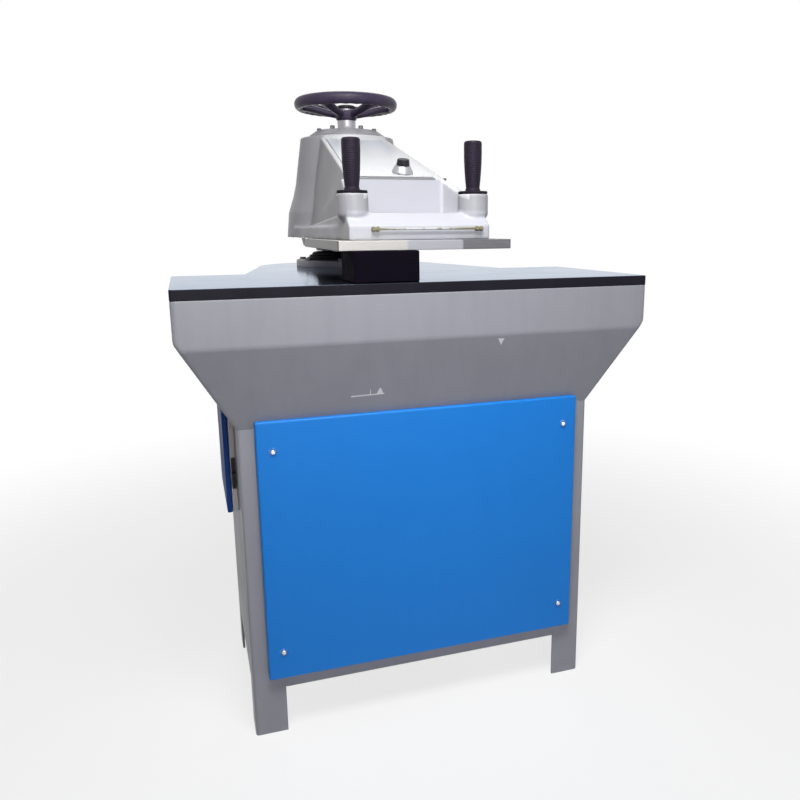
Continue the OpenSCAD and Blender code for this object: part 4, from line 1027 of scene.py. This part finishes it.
# Switch conduit: a thin brass tube along the ledge's front edge with a hexagonal union at each end. It leads
# the buttons' wires from one handle to the other, and its middle is sprayed over with the arm's paint.
conduit_low, conduit_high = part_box("switch_conduit")
conduit_y = (conduit_low.y + conduit_high.y) / 2
conduit_z = (conduit_low.z + conduit_high.z) / 2
pipe_r, union_r, union_l = 0.0020, 0.0045, 0.015
union_edge, union_neck = 0.001, 0.0014
bare_from, sprayed_to = 0.085, 0.035
lie_down = Matrix.Translation((0, conduit_y, conduit_z)) @ Matrix.Rotation(math.radians(90), 4, "Y")
pipe = rod("painted_conduit", pipe_r, conduit_low.x + union_l / 2, conduit_high.x - union_l / 2, (0, 0), 24)
pipe.data.transform(lie_down)
union_rim = [(0, 0), (union_r - union_edge, 0), (union_r, union_edge), (union_r, 0.006),
             (union_r - union_neck, 0.007), (union_r - union_neck, 0.009), (union_r, 0.010),
             (union_r, union_l - union_edge), (union_r - union_edge, union_l), (0, union_l)]
unions = copies("brass_unions", turned("union", union_rim, (0, 0), parts=6, smooth_deg=20),
                [lie_down @ Matrix.Translation((0, 0, x)) for x in (conduit_low.x, conduit_high.x - union_l)])
brass = bare_metal("dull_brass", (0.20, 0.185, 0.11), 0.5, grain_scale=400.0, tarnish=0.8, metallic=0.2)
tree, shader, place, base = reopened(brass)
across = add(tree, "SeparateXYZ", {0: place}).outputs["X"]
beside = add(tree, "Math", {0: across}, operation="ABSOLUTE").outputs[0]
spray = multiply(tree, ramp(tree, beside, bare_from, sprayed_to),
                 ramp(tree, noise(tree, place, 60.0, 3.0), 0.35, 0.55), 0.9)
tree.links.new(blend_colour(tree, spray, base, (0.45, 0.455, 0.48, 1)), shader.inputs["Base Color"])
fit(pipe, "arm", "brass", brass)
fit(unions, "arm", "brass", brass, "switch_conduit")


# Handles: on each boss a black collar and a tapered rubber grip with fine rings. A push button sits in its
# head, and both buttons have to be pressed to strike.
_, grip_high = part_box("left_grip")
button_low, button_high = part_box("left_button")
collar_r, collar_bore = (boss_high.x - boss_low.x) / 2 - 0.0021, 0.008
grip_foot_r, grip_head_r = 0.0133, 0.0172
grip_rings, ring_deep = 26, 0.00018
head_bend, head_h = 0.004, 0.005
foot_out, foot_rim, foot_top, foot_end = 0.0012, 0.0035, 0.0055, 0.0065
swell_share = 0.85
button_r = (button_high.x - button_low.x) / 2
button_gap, button_well = 0.0003, 0.0175
grip_rubber = moulded("grip_rubber", (0.011, 0.0075, 0.016), (0.017, 0.012, 0.024), rough=0.5, grain=800.0,
                      wear=(0.05, 0.043, 0.06), gloss=0.14)


def grip_profile(foot, top):
    """Grip's outline: a short foot, a swelling 1 - (1 - s)^2 from the foot's radius to the head's with fine
    rings on it, a round head and the button's well."""
    t = np.linspace(0, 1, 260)
    z = foot + foot_end + t * (top - foot - foot_end - head_h)
    s = np.clip(t / swell_share, 0, 1)
    r = grip_foot_r + (grip_head_r - grip_foot_r) * (1 - (1 - s) ** 2)
    r = r + ring_deep * np.cos(2 * math.pi * grip_rings * t) * np.clip(12 * np.minimum(t, 1 - t), 0, 1)
    bend = np.linspace(0, math.pi / 2, 8)[1:]
    head = np.stack([grip_head_r - head_bend * (1 - np.cos(bend)), top - head_h + head_h * np.sin(bend)], 1)
    lip = grip_foot_r + foot_out
    short_foot = [(0, foot), (lip, foot), (lip, foot + foot_rim), (grip_foot_r, foot + foot_top)]
    bore = button_r + button_gap
    well = [(bore + button_gap, top), (bore, top - 0.001), (bore, top - button_well), (0, top - button_well)]
    return np.concatenate([short_foot, np.stack([r, z], 1), head, well])


for side, name in ((-1, "left"), (1, "right")):
    centre = (side * handle[0], handle[1])
    collar_rim = [(collar_bore, boss_low.z), (collar_r, boss_low.z), (collar_r, boss_high.z),
                  (collar_bore, boss_high.z)]
    collar = turned(name + "_rubber_collar", eased(collar_rim, [0.0005, 0.001, 0.002, 0.0005]), centre,
                    wrap=True, parts=64)
    fit(collar, "arm", "rubber", rubber, name + "_collar")
    grip = turned(name + "_rubber_grip", grip_profile(boss_high.z, grip_high.z), centre, parts=72)
    fit(grip, "arm", "rubber", grip_rubber, name + "_grip")
    button_rim = [(0, button_low.z), (button_r, button_low.z), (button_r, button_high.z - 0.0008),
                  (0.6 * button_r, button_high.z), (0, button_high.z)]
    button = turned(name + "_push_button", eased(button_rim, [0, 0.0005, 0.0015, 0.002, 0]), centre, parts=48)
    fit(button, name + "_button", "black_plastic", switch_black, name + "_button")


# Adjusting screw: a turned steel spindle through the cap, with a thrust collar that a grub screw holds.
# Turning it by the wheel raises or lowers the arm on its sleeve.
spindle_low, spindle_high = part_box("adjusting_screw")
wheel_low, wheel_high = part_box("handwheel")
spindle_r, thrust_r = 0.015, (spindle_high.x - spindle_low.x) / 2
hub_low = wheel_low.z
thrust_low = cap_top + 0.0005
thrust_top = cap_high.z + 0.021
thrust_edge, spindle_edge, spindle_tip = 0.0012, 0.001, 0.002
thread_pitch, thread_deep, thread_gap, thread_end = 0.006, 0.0012, 0.0014, 0.004
thread_z = np.linspace(spindle_low.z + thread_end, cap_low.z - thread_end, 900)
thread_r = spindle_r - thread_gap + thread_deep * np.abs(2 * ((thread_z / thread_pitch) % 1) - 1)
spindle_profile = np.concatenate([
    [(0, spindle_low.z), (spindle_r - spindle_tip, spindle_low.z)], np.stack([thread_r, thread_z], 1),
    [(spindle_r, cap_low.z), (spindle_r, thrust_low)],
    [(thrust_r - thrust_edge, thrust_low), (thrust_r, thrust_low + thrust_edge),
     (thrust_r, thrust_top - thrust_edge), (thrust_r - thrust_edge, thrust_top)],
    [(spindle_r, thrust_top), (spindle_r, spindle_high.z - spindle_edge),
     (spindle_r - spindle_edge, spindle_high.z), (0, spindle_high.z)]])
spindle = turned("adjusting_spindle", spindle_profile, column, parts=48)
spindle_steel = bare_metal("dull_turned_steel", (0.46, 0.45, 0.48), 0.40, grain_scale=300.0, tarnish=0.5)
fit(spindle, "handwheel", "steel", spindle_steel, "adjusting_screw")

grub_r, grub_h, grub_turn, grub_up, grub_in = 0.0042, 0.003, math.radians(262), 0.006, 0.002
grub = socket_head("thrust_grub_screw", grub_r, grub_h, 24)
grub.data.transform(bolt_circle(thrust_low + grub_up, thrust_r - grub_in, 1, grub_turn)[0]
                    @ Matrix.Rotation(math.radians(90), 4, "Y"))
fit(grub, "handwheel", "dark_bolt", black_oxide)


# Handwheel: moulded dark plastic, held on the spindle by a black cap nut over a bright washer. Five deep
# spokes rise from the low hub to a rim whose underside has finger waves.
wheel_r = (wheel_high.x - wheel_low.x) / 2
rim_r, rim_tall = 0.012, 1.2
wheel_z = wheel_high.z - rim_r * rim_tall
wheel_hub_r, wheel_hub_h, wheel_hub_edge = 0.028, 0.022, 0.004
wheel_cube, wheel_ease = 0.0016, 3
wheel_bore = spindle_r + 0.0002
spokes, spoke_turn = 5, math.radians(11)
spoke_low, spoke_high = hub_low + 0.014, wheel_z - 0.003
spoke_from, spoke_to = wheel_hub_r - 0.008, wheel_r - 2 * rim_r + 0.006
spoke_w, spoke_widens, spoke_h, spoke_deepens = 0.0100, 0.0080, 0.0085, 0.0015
finger_waves, wave_deep, wave_turn = 30, 0.0012, 2.6


def wave_rim(name):
    """Torus (R + r cos b) round the axis with height k r sin b, whose r has finger waves on its inner
    underside."""
    a = np.linspace(0, 2 * math.pi, 480, endpoint=False)[:, None]
    b = np.linspace(0, 2 * math.pi, 40, endpoint=False)[None]
    under = np.clip(np.cos(b + wave_turn), 0, 1) ** 2
    r = rim_r - wave_deep * under * (1 + np.cos(finger_waves * a))
    ring = wheel_r - rim_r + r * np.cos(b)
    return grid_piece(name, np.stack([column[0] + ring * np.cos(a), column[1] + ring * np.sin(a),
                                      wheel_z + rim_tall * r * np.sin(b)], -1), wrap_u=True, smooth_deg=180)


def spoke(name, turn):
    """Upright ellipse carried from the hub to the rim on a line that rises half straight and half in the
    S curve 3 t^2 - 2 t^3."""
    t = np.linspace(0, 1, 24)[:, None]
    b = np.linspace(0, 2 * math.pi, 24, endpoint=False)[None]
    along = spoke_from + t * (spoke_to - spoke_from)
    rise = spoke_low + (spoke_high - spoke_low) * (0.5 * t + 0.5 * (3 * t**2 - 2 * t**3))
    across = (spoke_w + spoke_widens * t**2) * np.cos(b)
    upright = (spoke_h + spoke_deepens * t) * np.sin(b)
    x = column[0] + along * math.cos(turn) - across * math.sin(turn)
    y = column[1] + along * math.sin(turn) + across * math.cos(turn)
    return grid_piece(name, np.stack([x, y, rise + upright], -1), smooth_deg=60)


hub_top = hub_low + wheel_hub_h
hub_outline = [(0, hub_low), (wheel_hub_r - wheel_hub_edge, hub_low), (wheel_hub_r - 0.002, hub_low + 0.003),
               (wheel_hub_r, hub_low + 0.012), (wheel_hub_r, hub_top - wheel_hub_edge),
               (wheel_hub_r - wheel_hub_edge, hub_top), (0, hub_top)]
wheel_solids = [wave_rim("rim"), turned("wheel_hub", hub_outline, column),
                *[spoke("spoke", spoke_turn + k * 2 * math.pi / spokes) for k in range(spokes)]]
bore = rod("wheel_bore", wheel_bore, hub_low - cut_past, hub_low + 10 * cut_past, column, 64)
wheel = cast("moulded_handwheel", wheel_solids, (bore,), wheel_cube, wheel_ease)
wheel_plastic = moulded("dark_wheel_plastic", (0.040, 0.030, 0.060), (0.058, 0.045, 0.080), rough=0.42,
                        grain=500.0, wear=(0.13, 0.12, 0.15), gloss=0.2)
fit(wheel, "handwheel", "black_plastic", wheel_plastic, "handwheel")

nut_low, nut_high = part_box("wheel_nut")
nut_r = (nut_high.x - nut_low.x) / 2
washer_r, washer_top = nut_r - 0.0015, nut_low.z + 0.005
nut_roof = spindle_high.z + 0.0002
nut_cone, nut_cone_h = 0.004, 0.003
washer_rim = [(wheel_bore, nut_low.z), (washer_r, nut_low.z), (washer_r, washer_top),
              (wheel_bore, washer_top)]
washer = turned("bright_wheel_washer", eased(washer_rim, 0.0008), column, wrap=True, parts=64)
fit(washer, "handwheel", "steel", bright_turned)
nut_rim = [(0, nut_roof), (wheel_bore, nut_roof), (wheel_bore, washer_top), (nut_r, washer_top),
           (nut_r, nut_high.z - nut_cone_h), (nut_r - nut_cone, nut_high.z), (0, nut_high.z)]
nut = turned("black_cap_nut", eased(nut_rim, [0, 0, 0.0005, 0.0008, 0.002, 0.002, 0]), column, parts=64)
fit(nut, "handwheel", "dark_bolt", switch_black, "wheel_nut")


# Studio: a pale matt floor that keeps the machine's shadow and fades into a white surround. Six soft lamps
# stand round the machine, and the camera has the place and lens that were fitted to the photograph.
floor_half = 12.0
floor_mesh = bpy.data.meshes.new("studio_floor")
floor_corners = [(x * floor_half, y * floor_half, 0) for x, y in ((-1, -1), (1, -1), (1, 1), (-1, 1))]
floor_mesh.from_pydata(floor_corners, [], [(0, 1, 2, 3)])
floor = in_scene("studio_floor", floor_mesh)


def seen_rays(tree):
    """1 for rays that show a surface: camera, mirror and glass rays."""
    path = add(tree, "LightPath")
    seen = path.outputs["Is Camera Ray"]
    for kind in ("Is Glossy Ray", "Is Transmission Ray"):
        seen = add(tree, "Math", {0: seen, 1: path.outputs[kind]}, operation="MAXIMUM").outputs[0]
    return seen


floor_paint = bpy.data.materials.new("pale_floor")
floor_paint.use_nodes = True
tree = floor_paint.node_tree
tree.nodes.clear()
place = add(tree, "TexCoord").outputs["Object"]
far = add(tree, "VectorMath", {0: place}, operation="LENGTH").outputs["Value"]
matt = add(tree, "BsdfDiffuse", {"Color": (0.75, 0.75, 0.76, 1)}).outputs[0]
glow = add(tree, "Emission", {"Color": (1, 1, 1, 1), "Strength": 1.0}).outputs[0]
share = multiply(tree, seen_rays(tree), ramp(tree, far, 0.7, 2.2, 0.76, 1.0))
pale = add(tree, "MixShader", {0: share, 1: matt, 2: glow}).outputs[0]
add(tree, "OutputMaterial", {"Surface": pale})
floor_mesh.materials.append(floor_paint)

world = bpy.data.worlds.new("white_surround")
bpy.context.scene.world = world
world.use_nodes = True
tree = world.node_tree
tree.nodes.clear()
ambient = add(tree, "Background", {"Color": (0.93, 0.95, 1.0, 1), "Strength": 0.02}).outputs[0]
white = add(tree, "Background", {"Color": (1, 1, 1, 1), "Strength": 1.0}).outputs[0]
sky = add(tree, "MixShader", {0: seen_rays(tree), 1: ambient, 2: white}).outputs[0]
add(tree, "OutputWorld", {"Surface": sky})


def soft_lamp(name, place, aim, size, watts, spread=180.0):
    """Square white lamp at `place` that looks at `aim` and shines `spread` degrees wide."""
    lamp = bpy.data.lights.new(name, "AREA")
    lamp.size = size
    lamp.energy = watts
    lamp.spread = math.radians(spread)
    holder = in_scene(name, lamp)
    back = np.array(place, float) - aim
    back /= np.linalg.norm(back)
    side = np.cross((0, 0, 1), back)
    side /= np.linalg.norm(side)
    turn = np.column_stack([side, np.cross(back, side), back])
    holder.matrix_world = Matrix.Translation(place) @ Matrix(turn.tolist()).to_4x4()


soft_lamp("key_lamp", (-0.1, -1.15, 2.3), (0, -0.46, 0.85), 0.6, 9.8, 100.0)
soft_lamp("left_lamp", (-0.6, -1.3, 2.2), (0, -0.46, 0.85), 0.6, 4.6, 100.0)
soft_lamp("front_lamp", (-0.2, -3.0, 1.2), (0, -0.4, 1.0), 1.2, 4.2, 60.0)
soft_lamp("side_lamp", (1.8, -2.4, 1.2), (0, -0.3, 0.7), 1.2, 4.0)
soft_lamp("back_lamp", (0.3, 2.5, 3.0), (0, 0.3, 0.7), 1.0, 8.0)
soft_lamp("low_back_lamp", (0.2, 2.9, 0.42), (0, 0.3, 0.30), 0.6, 2.4, 36.0)

camera_place = (-0.4229, -1.7665, 0.9812)
camera_yaw, camera_pitch, camera_roll = math.radians(18.488), math.radians(12.189), math.radians(-0.418)
picture_side = 800.0
focal_px = 750.14
middle_px = (438.594, 389.44)
forward = math.cos(camera_pitch)
ahead = np.array([forward * math.sin(camera_yaw), forward * math.cos(camera_yaw), -math.sin(camera_pitch)])
level = np.array([math.cos(camera_yaw), -math.sin(camera_yaw), 0.0])
upward = np.cross(level, ahead)
right = math.cos(camera_roll) * level + math.sin(camera_roll) * upward
upward = -math.sin(camera_roll) * level + math.cos(camera_roll) * upward
lens = bpy.data.cameras.new("photo_camera")
lens.sensor_width = 36.0
lens.lens = lens.sensor_width * focal_px / picture_side
lens.shift_x = (picture_side / 2 - middle_px[0]) / picture_side
lens.shift_y = (middle_px[1] - picture_side / 2) / picture_side
camera = in_scene("photo_camera", lens)
camera.matrix_world = (Matrix.Translation(camera_place)
                       @ Matrix(np.column_stack([right, upward, -ahead]).tolist()).to_4x4())
bpy.context.scene.camera = camera
bpy.context.scene.view_settings.view_transform = "Standard"
